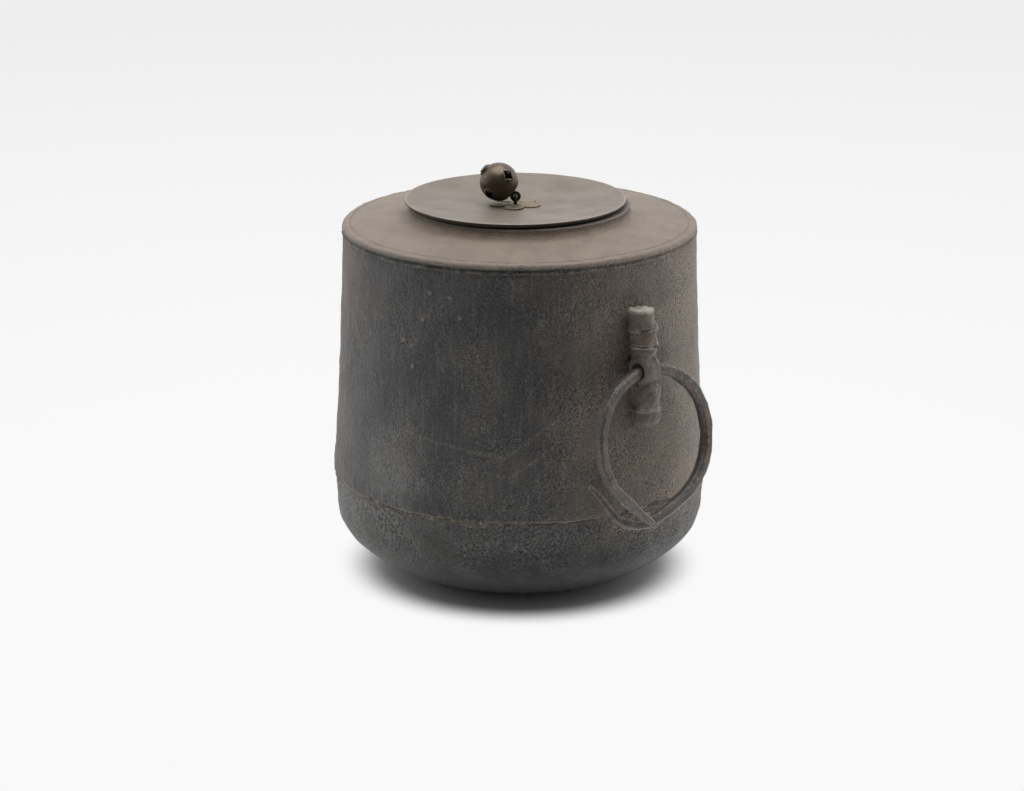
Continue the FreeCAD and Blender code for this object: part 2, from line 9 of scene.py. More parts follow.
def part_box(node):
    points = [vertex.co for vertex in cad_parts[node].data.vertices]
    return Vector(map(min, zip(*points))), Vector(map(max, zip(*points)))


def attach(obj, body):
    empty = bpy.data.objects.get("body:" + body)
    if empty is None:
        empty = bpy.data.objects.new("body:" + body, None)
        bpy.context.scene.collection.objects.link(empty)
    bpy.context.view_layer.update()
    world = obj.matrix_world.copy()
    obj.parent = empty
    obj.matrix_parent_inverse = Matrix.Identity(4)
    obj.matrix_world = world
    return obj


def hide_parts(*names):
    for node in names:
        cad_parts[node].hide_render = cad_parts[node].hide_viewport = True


bl_info = {
    "name": "Tea-ceremony water kettle",
    "version": (1, 0, 0),
    "blender": (4, 5, 0),
    "location": "View3D > Sidebar > Kettle",
    "description": "Models a cast-iron kettle with open rings and a bronze lid over its packed frame",
    "category": "Add Mesh",
}

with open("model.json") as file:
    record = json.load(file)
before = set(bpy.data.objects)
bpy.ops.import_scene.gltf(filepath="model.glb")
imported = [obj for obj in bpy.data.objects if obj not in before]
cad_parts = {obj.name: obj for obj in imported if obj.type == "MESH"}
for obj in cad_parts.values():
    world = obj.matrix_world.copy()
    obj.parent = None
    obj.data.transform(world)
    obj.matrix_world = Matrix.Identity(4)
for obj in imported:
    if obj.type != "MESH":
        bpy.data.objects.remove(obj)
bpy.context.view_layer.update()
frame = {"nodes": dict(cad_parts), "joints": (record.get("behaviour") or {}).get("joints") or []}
JOINTS = {joint["name"]: joint for joint in frame["joints"]}
MM = 0.001
WELD = 0.001 * MM
FINE_VOXEL = 0.12 * MM

# Bulge of a quarter round, as a share of its radius
QUARTER_SAG = 0.293

# Inputs and output of a colour mix node
FACTOR, FIRST, SECOND, RESULT = 0, 6, 7, 2


# Colours and property kinds

def linear(hex_colour):
    """Linear colour of an sRGB hex value."""
    shares = [int(hex_colour[at:at + 2], 16) / 255 for at in (1, 3, 5)]
    return [c / 12.92 if c <= 0.04045 else ((c + 0.055) / 1.055) ** 2.4 for c in shares]


def length(title, says, metres):
    """Property of a length."""
    return FloatProperty(name=title, description=says, default=metres, unit="LENGTH", precision=5)


def turn(title, says, degrees):
    """Property of an angle."""
    return FloatProperty(name=title, description=says, default=math.radians(degrees), subtype="ANGLE")


def colour(title, says, hex_colour):
    """Property of a colour."""
    return FloatVectorProperty(
        name=title, description=says, default=linear(hex_colour), subtype="COLOR", min=0, max=1)


class KettleSizes(bpy.types.PropertyGroup):
    """Sizes of the two castings, the lugs and the rings."""
    wall_foot: length("Wall foot", "Radius of the wall at the seam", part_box("kettle_wall")[1].x)
    wall_draw_in: length("Draw-in", "How far the wall narrows up to the ridge", 6.3 * MM)
    wall_bow: length("Bow", "How far the wall hollows between seam and ridge", 0.75 * MM)
    wall: length("Wall", "Thickness of the wall", 3.8 * MM)
    seam: length("Seam", "Height of the seam between the castings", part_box("kettle_wall")[0].z)
    ridge: length("Ridge", "Height of the ridge under the shoulder's edge", 179.2 * MM)
    band: length("Band", "Width of the ridge, and of the groove above it", 1.5 * MM)
    ridge_stand: length("Ridge stand", "How far the ridge stands out", 0.45 * MM)
    groove: length("Groove", "Depth of the groove", 0.4 * MM)
    edge_stand: length("Edge stand", "How far the shoulder's edge stands out", 0.4 * MM)
    edge_round: length("Edge round", "Radius of the shoulder's edge", 2.2 * MM)
    shoulder_slope: turn("Shoulder slope", "Slope of the shoulder", 6.7)
    shoulder_wall: length("Shoulder wall", "Thickness of the shoulder", 4.2 * MM)
    shoulder_dome: length("Shoulder dome", "Rise of the shoulder over its chord", 0.35 * MM)
    line_inset: length("Line inset", "Distance of the engraved line from the edge", 3.7 * MM)
    line_width: length("Line width", "Width of the engraved line", 1.0 * MM)
    line_depth: length("Line depth", "Depth of the engraved line", 0.5 * MM)
    mouth: length("Mouth", "Radius of the mouth", 52.5 * MM)
    mouth_height: length("Mouth height", "Height of the mouth's rim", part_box("kettle_wall")[1].z)
    neck: length("Neck", "Outer radius of the neck", 56.4 * MM)
    neck_spread: length("Neck spread", "Hollow between neck and shoulder", 3.4 * MM)
    neck_lip: length("Neck lip", "Round of the rim", 0.5 * MM)
    inner_corner: length("Inner corner", "Round inside the shoulder", 6.0 * MM)
    foot: length("Foot", "Radius of the flat foot", 36.7 * MM)
    bowl_wall: length("Bowl wall", "Thickness of the bowl", 4.4 * MM)
    overhang: length("Overhang", "How far the wall stands over the bowl", 0.5 * MM)
    putty_bed: length("Putty bed", "Height of the putty in the seam", 0.9 * MM)
    spigot: length("Spigot", "Radius of the bowl's spigot inside the wall", 91.9 * MM)
    spigot_wall: length("Spigot wall", "Thickness of the spigot", 3.4 * MM)
    spigot_height: length("Spigot height", "Height of the spigot over the seam", 8.5 * MM)
    knuckle: length("Knuckle", "Radius of the bowl's turn to the flank", 22.4 * MM)
    knuckle_break: turn("Knuckle break", "Slope where the base meets the knuckle", 43.6)
    flank_taper: turn("Flank taper", "Lean of the flank under the seam", 3.9)
    grid: length("Grid", "Spacing of the cast skin's mesh", 1.1 * MM)
    around: IntProperty(name="Columns", description="Steps round a casting", default=480, min=48)
    voxel: length("Voxel", "Spacing of the lugs' and rings' skin", 0.28 * MM)


class LidSizes(bpy.types.PropertyGroup):
    """Sizes of the lid and its knob."""
    lid: length("Lid", "Radius of the lid", 56.5 * MM)
    rim: length("Rim", "Height of the rim over the mouth", 3.0 * MM)
    lip: length("Lip", "Width of the rim's lip", 1.0 * MM)
    dish: length("Dish", "Depth of the dished top", 3.5 * MM)
    dish_bow: length("Dish bow", "Hollow of the dish under its chord", 0.55 * MM)
    plate: length("Plate", "Thickness of the lid's floor", 2.6 * MM)
    seat_radius: length("Seat radius", "Where the underside meets the mouth", 54.6 * MM)
    band_inside: length("Band inside", "Inner radius of the band under the lid", 48.2 * MM)
    flat: length("Flat", "Radius of the flat floor round the knob", 13.95 * MM)
    petals: IntProperty(name="Petals", description="Petals of the knob's seat", default=5, min=3)
    petal: length("Petal", "Radius of a petal", 5.1 * MM)
    petal_reach: length("Petal reach", "Distance of a petal from the lid's centre", 8.4 * MM)
    petal_turn: turn("Petal turn", "Direction of the first petal", -44.5)
    petal_rise: length("Petal rise", "Rise of a petal over the lid", 0.85 * MM)
    petal_dome: length("Petal dome", "Hollow of a petal's face", 0.15 * MM)
    petal_lap: turn("Petal lap", "Tilt by which each petal laps over the next", 2.0)
    ball: length("Ball", "Radius of the knob's ball", 9.8 * MM)
    ball_wall: length("Ball wall", "Thickness of the hollow ball", 1.2 * MM)
    ball_base: length("Ball base", "Radius of the flat under the ball", 5.0 * MM)
    ball_stand: length("Ball stand", "Height of the ball's centre over its pivot", 11.3 * MM)
    lean: turn("Lean", "How far the knob lolls from upright", 48.0)
    lean_way: turn("Lean direction", "Direction in which the knob lolls", 230.5)
    hole: length("Hole", "Side of a piercing", 4.9 * MM)
    hole_arc: length("Hole arc", "Radius of a piercing's hollow sides", 5.6 * MM)
    holes: IntProperty(name="Holes", description="Piercings round the ball", default=4, min=1)
    leaf_rise: length("Leaf rise", "Relief of the leaves round a piercing", 0.45 * MM)
    cap: length("Cap", "Radius of the cap on the ball's pole", 3.4 * MM)
    cap_step: length("Cap step", "Width of the cap's step", 1.0 * MM)
    cap_tier: length("Cap tier", "Height of each of the cap's two tiers", 0.75 * MM)
    shank: length("Shank", "Diameter of the pin through the ball", 2.0 * MM)


class Finish(bpy.types.PropertyGroup):
    """Colours of the surfaces."""
    cold_black: colour("Cold black", "Lacquer still whole, away from the lugs", "#4C4D4D")
    warm_black: colour("Warm black", "Browned iron of the wall", "#685D55")
    dust: colour("Dust", "Dry brown oxide on the shoulder", "#AB9988")
    warm_dust: colour("Warm dust", "Browner patches of that dust", "#85756A")
    pale_grit: colour("Pale grit", "Scuffs and ragged edges", "#ADA398")
    rust: colour("Rust", "Rust stain below the lug", "#8A5A38")
    # Also painted light: the straw spot is widened over the wall's lit side
    straw: colour("Straw", "Yellowed oxide by the ring", "#93826A")
    soot: colour("Soot", "Smooth sooty iron of the bowl", "#2A2A29")
    # On the bowl's two sides across the view this grey is also painted limb light
    ash: colour("Ash", "Grey bloom on the bowl and low on the wall", "#8A8885")
    crust: colour("Crust", "Scaled iron under the seam", "#605F5D")
    # Also painted shade: round the lug, low on the lugs and in a band under the lid
    halo_and_shade: colour("Halo", "Burnt brown round the lugs", "#41372F")
    lug_brown: colour("Lug brown", "Cast iron of the lugs", "#786B60")
    lug_cut: colour("Lug cut", "Pale break on top of a lug", "#CBC1B4")
    forged: colour("Forged", "Scale on the forged rings", "#625D5A")
    # Partly a painted highlight along the rings' edges
    bare_iron_and_highlight: colour("Bare iron", "Worn edges of the rings", "#BDB7AF")
    putty: colour("Putty", "Lacquer and filings in the seam", "#655E56")
    lid_bronze: colour("Lid bronze", "Grey-brown patina of the lid", "#8E8378")
    petal_bronze: colour("Petal bronze", "Golden patina of the petals", "#8A7B64")
    # On undersides this dark is painted shade
    wire_bronze_and_shade: colour("Wire bronze", "Blackened patina of wires and undersides", "#3A332C")
    # Along the lid's lip this pale is a painted highlight
    worn_bronze_and_highlight: colour("Worn bronze", "Rubbed edges of the bronze", "#CFC7BB")
    knob_bronze: colour("Knob bronze", "Dark brown patina of the knob", "#6A5D4E")
    hollow: colour("Hollow", "Unlit inside of the pierced ball", "#070707")


class Stage(bpy.types.PropertyGroup):
    """Camera and light."""
    look_from: turn("Look from", "Direction of the camera round the kettle", 50.5)
    look_down: turn("Look down", "Pitch of the camera", 17.36)
    look_at: length("Look at", "Height of the point in the middle of the picture", 90.7 * MM)
    look_aside: length("Look aside", "Shift of that point to the camera's right", -3.84 * MM)
    distance: length("Distance", "Distance of the camera from that point", 1.533)
    lens: FloatProperty(name="Lens", description="Focal length in mm on a 36 mm sensor", default=103.64)
    box_width: length("Softbox width", "Side of the overhead softbox", 1.4)
    box_height: length("Softbox height", "Height of the overhead softbox", 1.5)
    box_power: FloatProperty(
        name="Softbox power", description="Power of the softbox", default=12.0, unit="POWER")
    surround: FloatProperty(
        name="Surround", description="Light from the white studio round the kettle", default=0.85)
    front: FloatProperty(
        name="Front", description="Share of that light on the camera's side", default=0.1, subtype="FACTOR")
    white: colour("White", "Floor round the kettle", "#F9F9F9")
    far_white: colour("Far white", "Floor and background far off", "#EEEEEE")
    bench: colour("Bench", "Dark bench in front of the white card", "#4A4A4A")


# Modelling by hand

def activate(piece):
    """Makes a piece the only selected one."""
    bpy.ops.object.select_all(action="DESELECT")
    piece.select_set(True)
    bpy.context.view_layer.objects.active = piece


def bow(start, end, bulge, step):
    """Points from start to end, start left out, bowed to the right of the way by a bulge."""
    run, rise = end[0] - start[0], end[1] - start[1]
    reach = math.hypot(run, rise)
    count = max(1, round(reach / step))
    points = []
    for share in (k / count for k in range(1, count + 1)):
        off = 4 * bulge * share * (1 - share) / reach
        points.append((start[0] + run * share + rise * off, start[1] + rise * share - run * off))
    return points


def outline(start, *stretches):
    """Points of (radius, height) along stretches of end, bulge and spacing."""
    points = [start]
    for end, bulge, step in stretches:
        points += bow(points[-1], end, bulge, step)
    return points


def arc(centre, radius, first, last, step):
    """Points of (radius, height) along an arc, from one angle to another, counted from straight down."""
    count = max(2, round(radius * abs(last - first) / step))
    angles = [first + (last - first) * k / count for k in range(count + 1)]
    return [(centre[0] + radius * math.sin(angle), centre[1] - radius * math.cos(angle)) for angle in angles]


def start_vertex(name, place):
    """New piece in edit mode, drawn together to one vertex at a place."""
    bpy.ops.object.select_all(action="DESELECT")
    bpy.ops.mesh.primitive_plane_add(size=MM)
    piece = bpy.context.object
    piece.name = name
    piece.data.name = name
    bpy.ops.object.mode_set(mode="EDIT")
    bpy.ops.mesh.select_all(action="SELECT")
    bpy.ops.mesh.merge(type="CENTER")
    bpy.ops.transform.translate(value=place)
    return piece


def trace(name, points):
    """New piece in edit mode: a line drawn through points by extruding a vertex."""
    piece = start_vertex(name, points[0])
    for here, there in zip(points, points[1:]):
        bpy.ops.mesh.extrude_region_move(TRANSFORM_OT_translate={"value": Vector(there) - Vector(here)})
    bpy.ops.mesh.select_all(action="SELECT")
    bpy.ops.mesh.remove_doubles(threshold=WELD)
    return piece


def turned(name, points, steps, smooth=40):
    """New piece turned about the Z axis from an outline of (radius, height)."""
    piece = trace(name, [(radius, 0, height) for radius, height in points])
    bpy.ops.object.mode_set(mode="OBJECT")
    shape(piece, "SCREW", steps=steps, render_steps=steps, use_merge_vertices=True, merge_threshold=WELD)
    bpy.ops.object.mode_set(mode="EDIT")
    bpy.ops.mesh.select_all(action="SELECT")
    bpy.ops.mesh.remove_doubles(threshold=WELD)
    bpy.ops.mesh.normals_make_consistent(inside=False)
    bpy.ops.object.mode_set(mode="OBJECT")
    activate(piece)
    bpy.ops.object.shade_smooth_by_angle(angle=math.radians(smooth))
    return piece


def node_copy(name, node):
    """New piece with its own copy of a CAD node's mesh, merged into one skin."""
    source = frame["nodes"][node]
    piece = bpy.data.objects.new(name, source.data.copy())
    bpy.context.scene.collection.objects.link(piece)
    activate(piece)
    bpy.ops.object.mode_set(mode="EDIT")
    bpy.ops.mesh.select_all(action="SELECT")
    bpy.ops.mesh.remove_doubles(threshold=WELD)
    bpy.ops.object.mode_set(mode="OBJECT")
    bpy.ops.mesh.customdata_custom_splitnormals_clear()
    return piece


def shape(piece, kind, **settings):
    """Adds a modifier with its settings and applies it."""
    activate(piece)
    modifier = piece.modifiers.new(kind.title(), kind)
    for name, value in settings.items():
        setattr(modifier, name, value)
    bpy.ops.object.modifier_apply(modifier=modifier.name)


def reskin(piece, voxel, rounds):
    """Rebuilds a piece as one even skin, softened in a number of rounds and shaded smooth."""
    shape(piece, "REMESH", mode="VOXEL", voxel_size=voxel)
    shape(piece, "SMOOTH", factor=0.5, iterations=rounds)
    bpy.ops.object.shade_smooth()


def weigh(piece, name, rule):
    """Vertex group, and attribute for materials, whose weights follow a rule of each vertex's place."""
    weights = [max(0.0, min(1.0, rule(vertex.co))) for vertex in piece.data.vertices]
    piece.data.attributes.new(name + "_share", "FLOAT", "POINT").data.foreach_set("value", weights)
    group = piece.vertex_groups.new(name=name)
    for index, weight in enumerate(weights):
        if weight > 0:
            group.add([index], weight, "REPLACE")
    return name


def push(piece, name, rule, strength, **settings):
    """Moves a piece's skin by a strength, weighed by a rule of each vertex's place."""
    group = weigh(piece, name, rule)
    shape(piece, "DISPLACE", strength=strength, mid_level=0.0, vertex_group=group, **settings)
    return group


def roughen(piece, size, height, group="", kind="CLOUDS", **settings):
    """Raises and sinks a piece's skin in lumps of a size and a height."""
    texture = bpy.data.textures.new(piece.name + "_lumps", kind)
    texture.noise_scale = size
    for name, value in settings.items():
        setattr(texture, name, value)
    shape(piece, "DISPLACE", texture=texture, texture_coords="LOCAL", strength=height, vertex_group=group)


def place(piece, matrix):
    """Moves a finished piece to its place and bakes the move into its mesh."""
    activate(piece)
    piece.matrix_world = matrix
    bpy.ops.object.transform_apply(location=True, rotation=True, scale=True)


def hand_over(piece, body, slot, material, *nodes):
    """Gives a finished piece its material and its body, and hides the CAD nodes that it stands for; its slot
    is not used.
    """
    piece.data.materials.clear()
    piece.data.materials.append(material)
    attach(piece, body)
    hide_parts(*nodes)


def dress(node, material):
    """Gives a CAD node that still shows a better material."""
    mesh = frame["nodes"][node].data
    mesh.materials.clear()
    mesh.materials.append(material)


def smooth_step(value, low, high):
    """Share from 0 to 1 on the way from one value to another, with soft ends."""
    share = max(0.0, min(1.0, (value - low) / (high - low)))
    return share * share * (3 - 2 * share)


# Materials

def per(millimetres):
    """Scale of a pattern whose lumps are so many millimetres apart."""
    return 1 / (millimetres * MM)


def add(tree, kind, sockets=None, out=0, **settings):
    """Adds a shader node with its settings and its sockets' values or links, and gives an output."""
    node = tree.nodes.new("ShaderNode" + kind)
    for name, value in settings.items():
        setattr(node, name, value)
    for name, value in (sockets or {}).items():
        if isinstance(value, bpy.types.NodeSocket):
            tree.links.new(value, node.inputs[name])
        else:
            node.inputs[name].default_value = value
    return node.outputs[out] if node.outputs else None


def opaque(tint):
    """Colour with full cover."""
    return (*tint, 1)


def start_material(name):
    """New material, its node tree, its surface node and its object coordinates."""
    material = bpy.data.materials.new(name)
    material.use_nodes = True
    tree = material.node_tree
    return material, tree, tree.nodes["Principled BSDF"], add(tree, "TexCoord", out="Object")


def lay(tree, skin, *coats):
    """Lays coats over a skin, each of a colour where a value runs from low to high, up to a most."""
    for value, low, high, most, tint in coats:
        share = add(tree, "MapRange", {"Value": value, "From Min": low, "From Max": high, "To Max": most})
        tint = tint if isinstance(tint, bpy.types.NodeSocket) else opaque(tint)
        skin = add(tree, "Mix", {FACTOR: share, FIRST: skin, SECOND: tint}, RESULT, data_type="RGBA")
    return skin


def finish_skin(tree, surface, skin, gloss, relief, depth, bloom=0.0):
    """Links a surface's colour, its roughness between two ends, a fine relief and a dry bloom at limbs."""
    pattern, low, high = gloss
    surface.inputs["Sheen Weight"].default_value = bloom
    surface.inputs["Sheen Roughness"].default_value = 0.35
    rough = add(tree, "MapRange", {
        "Value": pattern, "From Min": 0.3, "From Max": 0.7, "To Min": low, "To Max": high})
    tree.links.new(skin, surface.inputs["Base Color"])
    tree.links.new(rough, surface.inputs["Roughness"])
    tree.links.new(add(tree, "Bump", {"Height": relief, "Distance": depth}), surface.inputs["Normal"])


def on_wall(sizes, degrees, height):
    """Point on the wall's outer face, by its direction and its height."""
    return Matrix.Rotation(math.radians(degrees), 3, "Z") @ Vector((wall_radius(sizes, height), 0, height))


def grains(tree, spot, skin, size, deep, shallow):
    """Uneven cast grain of a size, and a skin deepened by it: rough in patches, quiet between them."""
    # Real moulding sand is finer, and is drawn as coarse as it needs to show
    grain = add(tree, "TexNoise", {"Vector": spot, "Scale": per(size), "Detail": 8.0, "Roughness": 0.65})
    patches = add(tree, "TexNoise", {"Vector": spot, "Scale": per(22 * size), "Detail": 3.0})
    wide = add(tree, "MapRange", {
        "Value": patches, "From Min": 0.4, "From Max": 0.6, "To Min": shallow, "To Max": deep})
    spread = add(tree, "Math", {0: grain, 1: 0.5}, operation="SUBTRACT")
    tone = add(tree, "Math", {0: spread, 1: wide, 2: 1.0}, operation="MULTIPLY_ADD")
    tone = add(tree, "Math", {0: tone, 1: 0.15}, operation="MAXIMUM")
    sockets = {FACTOR: 1.0, FIRST: skin, SECOND: tone}
    return grain, add(tree, "Mix", sockets, RESULT, data_type="RGBA", blend_type="MULTIPLY")


def specks(tree, spot, apart, width, rare):
    """Scattered specks of a width: 1 inside a speck, 0 between them."""
    gap = add(tree, "TexVoronoi", {"Vector": spot, "Scale": per(apart)})
    share = width / apart
    inside = add(tree, "MapRange", {"Value": gap, "From Min": 0.5 * share, "From Max": 0.3 * share})
    chosen = add(tree, "Math", {0: gap.node.outputs["Color"], 1: rare}, operation="GREATER_THAN")
    return add(tree, "Math", {0: inside, 1: chosen}, operation="MULTIPLY")


# Where the wall is cold, where it is dry and also painted lighter as if lit from that side, and the scratch's
# side, as flat directions
COLD_WAY = (0.469, -0.883, 0)
DRY_AND_LIT_WAY = (0.636, 0.772, 0)
SCRATCH_SIDE = (-0.391, 0.921, 0)

# Stains on the wall, by direction in degrees and height; the lug's brown also paints shade and the straw spot
# also paints light
RUST_SPOT = (-11.0, 107.5 * MM)
STRAW_AND_LIGHT_SPOT = (36.0, 98 * MM)
BLOOM_SPOT = (-82.0, 74 * MM)
LUG_SPOT = (0.0, 136 * MM)


def cast_iron_wall(sizes, finish):
    """Sand-cast iron under old lacquer: grainy brown-black, dusty on the shoulder, rubbed at its edges, with
    painted shade under the lid and round the lug and painted light on its dry side.
    """
    material, tree, surface, spot = start_material("Cast iron, lacquered")
    height = add(tree, "SeparateXYZ", {"Vector": spot}, "Z")
    field, tight, cloud, fine = (
        add(tree, "TexNoise", {"Vector": spot, "Scale": per(size), "Detail": 4.0})
        for size in (60, 24, 12, 0.9))
    drawn = add(tree, "Mapping", {"Vector": spot, "Scale": (1, 1, 0.1)})
    streak = add(tree, "TexNoise", {"Vector": drawn, "Scale": per(1.8), "Detail": 6.0})
    blotch = add(tree, "TexNoise", {"Vector": spot, "Scale": per(28), "Detail": 3.0})
    tight = add(tree, "MapRange", {"Value": tight, "From Min": 0.46, "From Max": 0.56})
    pale, pit = (
        add(tree, "Math", {0: specks(tree, spot, apart, width, 0.6), 1: tight}, operation="MULTIPLY")
        for apart, width in ((3.6, 0.9), (2.4, 1.0)))
    raised = add(tree, "NewGeometry", out="Pointiness")
    cast = add(tree, "Attribute", out="Fac", attribute_name="lines_share")

    # Cold black where the lacquer is whole and at the back, browner and dustier between, paler on the dry
    # side as dust and painted light, with faint runs
    facing = add(tree, "VectorMath", {0: spot, 1: COLD_WAY}, "Value", operation="DOT_PRODUCT")
    whole = add(tree, "Math", {0: field, 1: 0.09, 2: facing}, operation="MULTIPLY_ADD")
    dry = add(tree, "VectorMath", {0: spot, 1: DRY_AND_LIT_WAY}, "Value", operation="DOT_PRODUCT")
    aside = add(tree, "Math", {0: cloud, 1: 0.03, 2: dry}, operation="MULTIPLY_ADD")
    skin = lay(tree, opaque(finish.warm_black),
               (whole, 0.095, 0.125, 1.0, finish.cold_black),
               (whole, 0.09, 0.02, 0.36, finish.dust),
               # Painted light: the dry side is dusted paler towards its limb
               (aside, 0.02, 0.1, 0.5, finish.dust),
               (facing, -0.025, -0.085, 0.65, finish.cold_black),
               (streak, 0.5, 0.75, 0.24, finish.dust),
               (blotch, 0.5, 0.65, 0.1, finish.dust),
               (blotch, 0.52, 0.35, 0.35, finish.soot))

    # Burnt brown round the lug with painted shade about it, rust under it, yellowed oxide by the ring widened
    # as painted light on the lit side, grey bloom on the cold side
    for place_on_wall, radius, most, tint in (
            (LUG_SPOT, 30 * MM, 0.4, finish.halo_and_shade), (RUST_SPOT, 8 * MM, 0.45, finish.rust),
            (STRAW_AND_LIGHT_SPOT, 28 * MM, 0.4, finish.straw), (BLOOM_SPOT, 32 * MM, 0.5, finish.ash)):
        centre = on_wall(sizes, *place_on_wall)
        gap = add(tree, "VectorMath", {0: spot, 1: centre}, "Value", operation="DISTANCE")
        frayed = add(tree, "Math", {0: cloud, 1: radius, 2: gap}, operation="MULTIPLY_ADD")
        skin = lay(tree, skin, (frayed, 1.3 * radius, 0.7 * radius, most, tint))
    grain, skin = grains(tree, spot, skin, 1.0, 7.2, 3.4)

    # Dry dust lies on the shoulder, freckled and thin towards its edge
    dust = lay(tree, opaque(finish.dust),
               (cloud, 0.4, 0.6, 0.42, finish.warm_dust),
               (grain, 0.46, 0.3, 0.55, finish.warm_black),
               (fine, 0.54, 0.7, 0.7, finish.pale_grit))
    lift = add(tree, "Math", {0: cloud, 1: 4 * MM, 2: height}, operation="MULTIPLY_ADD")
    worn = add(tree, "Math", {0: grain, 1: 0.12, 2: raised}, operation="MULTIPLY_ADD")
    etched = add(tree, "Math", {0: cast, 1: grain}, operation="MULTIPLY")
    skin = lay(tree, skin,
               (pit, 0.0, 1.0, 0.6, finish.soot),
               (lift, sizes.ridge + 4.5 * MM, sizes.ridge + 7 * MM, 1.0, dust),
               # Painted shadow: a dark band on the neck just under the lid's lip
               (height, sizes.mouth_height - 3.5 * MM, sizes.mouth_height - 1 * MM, 0.55, finish.halo_and_shade),
               (pale, 0.0, 1.0, 0.45, finish.pale_grit),
               (etched, 0.12, 0.5, 0.6, finish.pale_grit),
               (worn, 0.575, 0.62, 0.45, finish.pale_grit))
    relief = add(tree, "Mix", {FACTOR: 0.3, FIRST: grain, SECOND: fine}, RESULT, data_type="RGBA")
    relief = add(tree, "Math", {0: pit, 1: -0.15, 2: relief}, operation="MULTIPLY_ADD")
    finish_skin(tree, surface, skin, (grain, 0.4, 0.65), relief, 1.8 * MM, 0.4)
    return material


def cast_iron_bowl(finish):
    """Cast iron from the hearth: scaled and pitted under the seam, smooth and sooty at the foot."""
    material, tree, surface, spot = start_material("Cast iron, sooted")
    height = add(tree, "SeparateXYZ", {"Vector": spot}, "Z")
    cloud = add(tree, "TexNoise", {"Vector": spot, "Scale": per(18), "Detail": 4.0})
    fine = add(tree, "TexNoise", {"Vector": spot, "Scale": per(1.1), "Detail": 4.0})
    lift = add(tree, "Math", {0: cloud, 1: 50 * MM, 2: height}, operation="MULTIPLY_ADD")
    dry = add(tree, "VectorMath", {0: spot, 1: DRY_AND_LIT_WAY}, "Value", operation="DOT_PRODUCT")
    aside = add(tree, "Math", {0: dry}, operation="ABSOLUTE")
    browned = add(tree, "Math", {0: dry, 1: height}, operation="MINIMUM")
    skin = lay(tree, opaque(finish.soot),
               (lift, 44 * MM, 72 * MM, 1.0, finish.crust),
               # Painted limb light as well as ash: paler grey on both sides across the view
               (aside, 40 * MM, 85 * MM, 0.5, finish.ash),
               (browned, 36 * MM, 50 * MM, 0.6, finish.warm_dust))
    grain, skin = grains(tree, spot, skin, 1.3, 8.0, 3.4)
    pale, pit = (
        add(tree, "Math", {0: specks(tree, spot, apart, width, 0.5), 1: lift}, operation="MULTIPLY")
        for apart, width in ((3.4, 1.2), (3.0, 1.8)))
    scratch = add(tree, "VectorMath", {0: spot, 1: SCRATCH_SIDE}, "Value", operation="DOT_PRODUCT")
    scratch = add(tree, "Math", {0: scratch}, operation="ABSOLUTE")
    scratch = add(tree, "Math", {0: cloud, 1: 0.5 * MM, 2: scratch}, operation="MULTIPLY_ADD")
    skin = lay(tree, skin,
               (pale, 35 * MM, 70 * MM, 0.6, finish.pale_grit),
               (pit, 40 * MM, 70 * MM, 0.85, finish.soot),
               (scratch, 0.55 * MM, 0.35 * MM, 0.5, finish.pale_grit))
    surface.inputs["Specular IOR Level"].default_value = 0.3
    relief = add(tree, "Mix", {FACTOR: 0.3, FIRST: grain, SECOND: fine}, RESULT, data_type="RGBA")
    finish_skin(tree, surface, skin, (grain, 0.36, 0.62), relief, 1.6 * MM, 0.15)
    return material


def cast_iron_lug(finish, top):
    """Cast iron of the lugs: brown, dark in its grooves, rubbed pale on its swells and broken top, and darker
    low down as painted shade.
    """
    material, tree, surface, spot = start_material("Cast iron, browned")
    height = add(tree, "SeparateXYZ", {"Vector": spot}, "Z")
    raised = add(tree, "NewGeometry", out="Pointiness")
    grain, skin = grains(tree, spot, opaque(finish.lug_brown), 1.4, 2.6, 1.3)
    skin = lay(tree, skin,
               # Painted shade: the lower stalk is darkened as if lit from above
               (height, top - 20 * MM, top - 44 * MM, 0.15, finish.halo_and_shade),
               (raised, 0.51, 0.56, 0.45, finish.lug_cut),
               (raised, 0.495, 0.46, 0.8, finish.soot),
               (height, top - 3.4 * MM, top - 1.8 * MM, 0.9, finish.lug_cut))
    finish_skin(tree, surface, skin, (grain, 0.35, 0.5), grain, 0.35 * MM, 0.5)
    return material


def forged_iron(finish):
    """Forged bar with fire scale: grey-brown and half matt, bare and brighter along its edges, partly as a
    painted highlight.
    """
    material, tree, surface, spot = start_material("Forged iron, scaled")
    cloud = add(tree, "TexNoise", {"Vector": spot, "Scale": per(9), "Detail": 3.0})
    raised = add(tree, "NewGeometry", out="Pointiness")
    skin = lay(tree, opaque(finish.forged), (cloud, 0.4, 0.65, 0.5, finish.lug_brown))
    grain, skin = grains(tree, spot, skin, 1.8, 3.2, 1.6)
    bare = add(tree, "Math", {0: grain, 1: 0.06, 2: raised}, operation="MULTIPLY_ADD")
    # Painted highlight as well as wear: the edges are painted pale
    skin = lay(tree, skin, (bare, 0.545, 0.575, 0.55, finish.bare_iron_and_highlight))
    surface.inputs["Metallic"].default_value = 0.2
    finish_skin(tree, surface, skin, (grain, 0.3, 0.5), grain, 0.35 * MM, 0.25)
    return material


def lacquer_putty(finish):
    """Lacquer mixed with iron filings: dark, crumbly and matt."""
    material, tree, surface, spot = start_material("Lacquer putty with filings")
    grain, skin = grains(tree, spot, opaque(finish.putty), 1.6, 4.0, 2.4)
    skin = lay(tree, skin, (grain, 0.54, 0.66, 0.8, finish.pale_grit))
    finish_skin(tree, surface, skin, (grain, 0.7, 0.9), grain, 0.6 * MM)
    return material


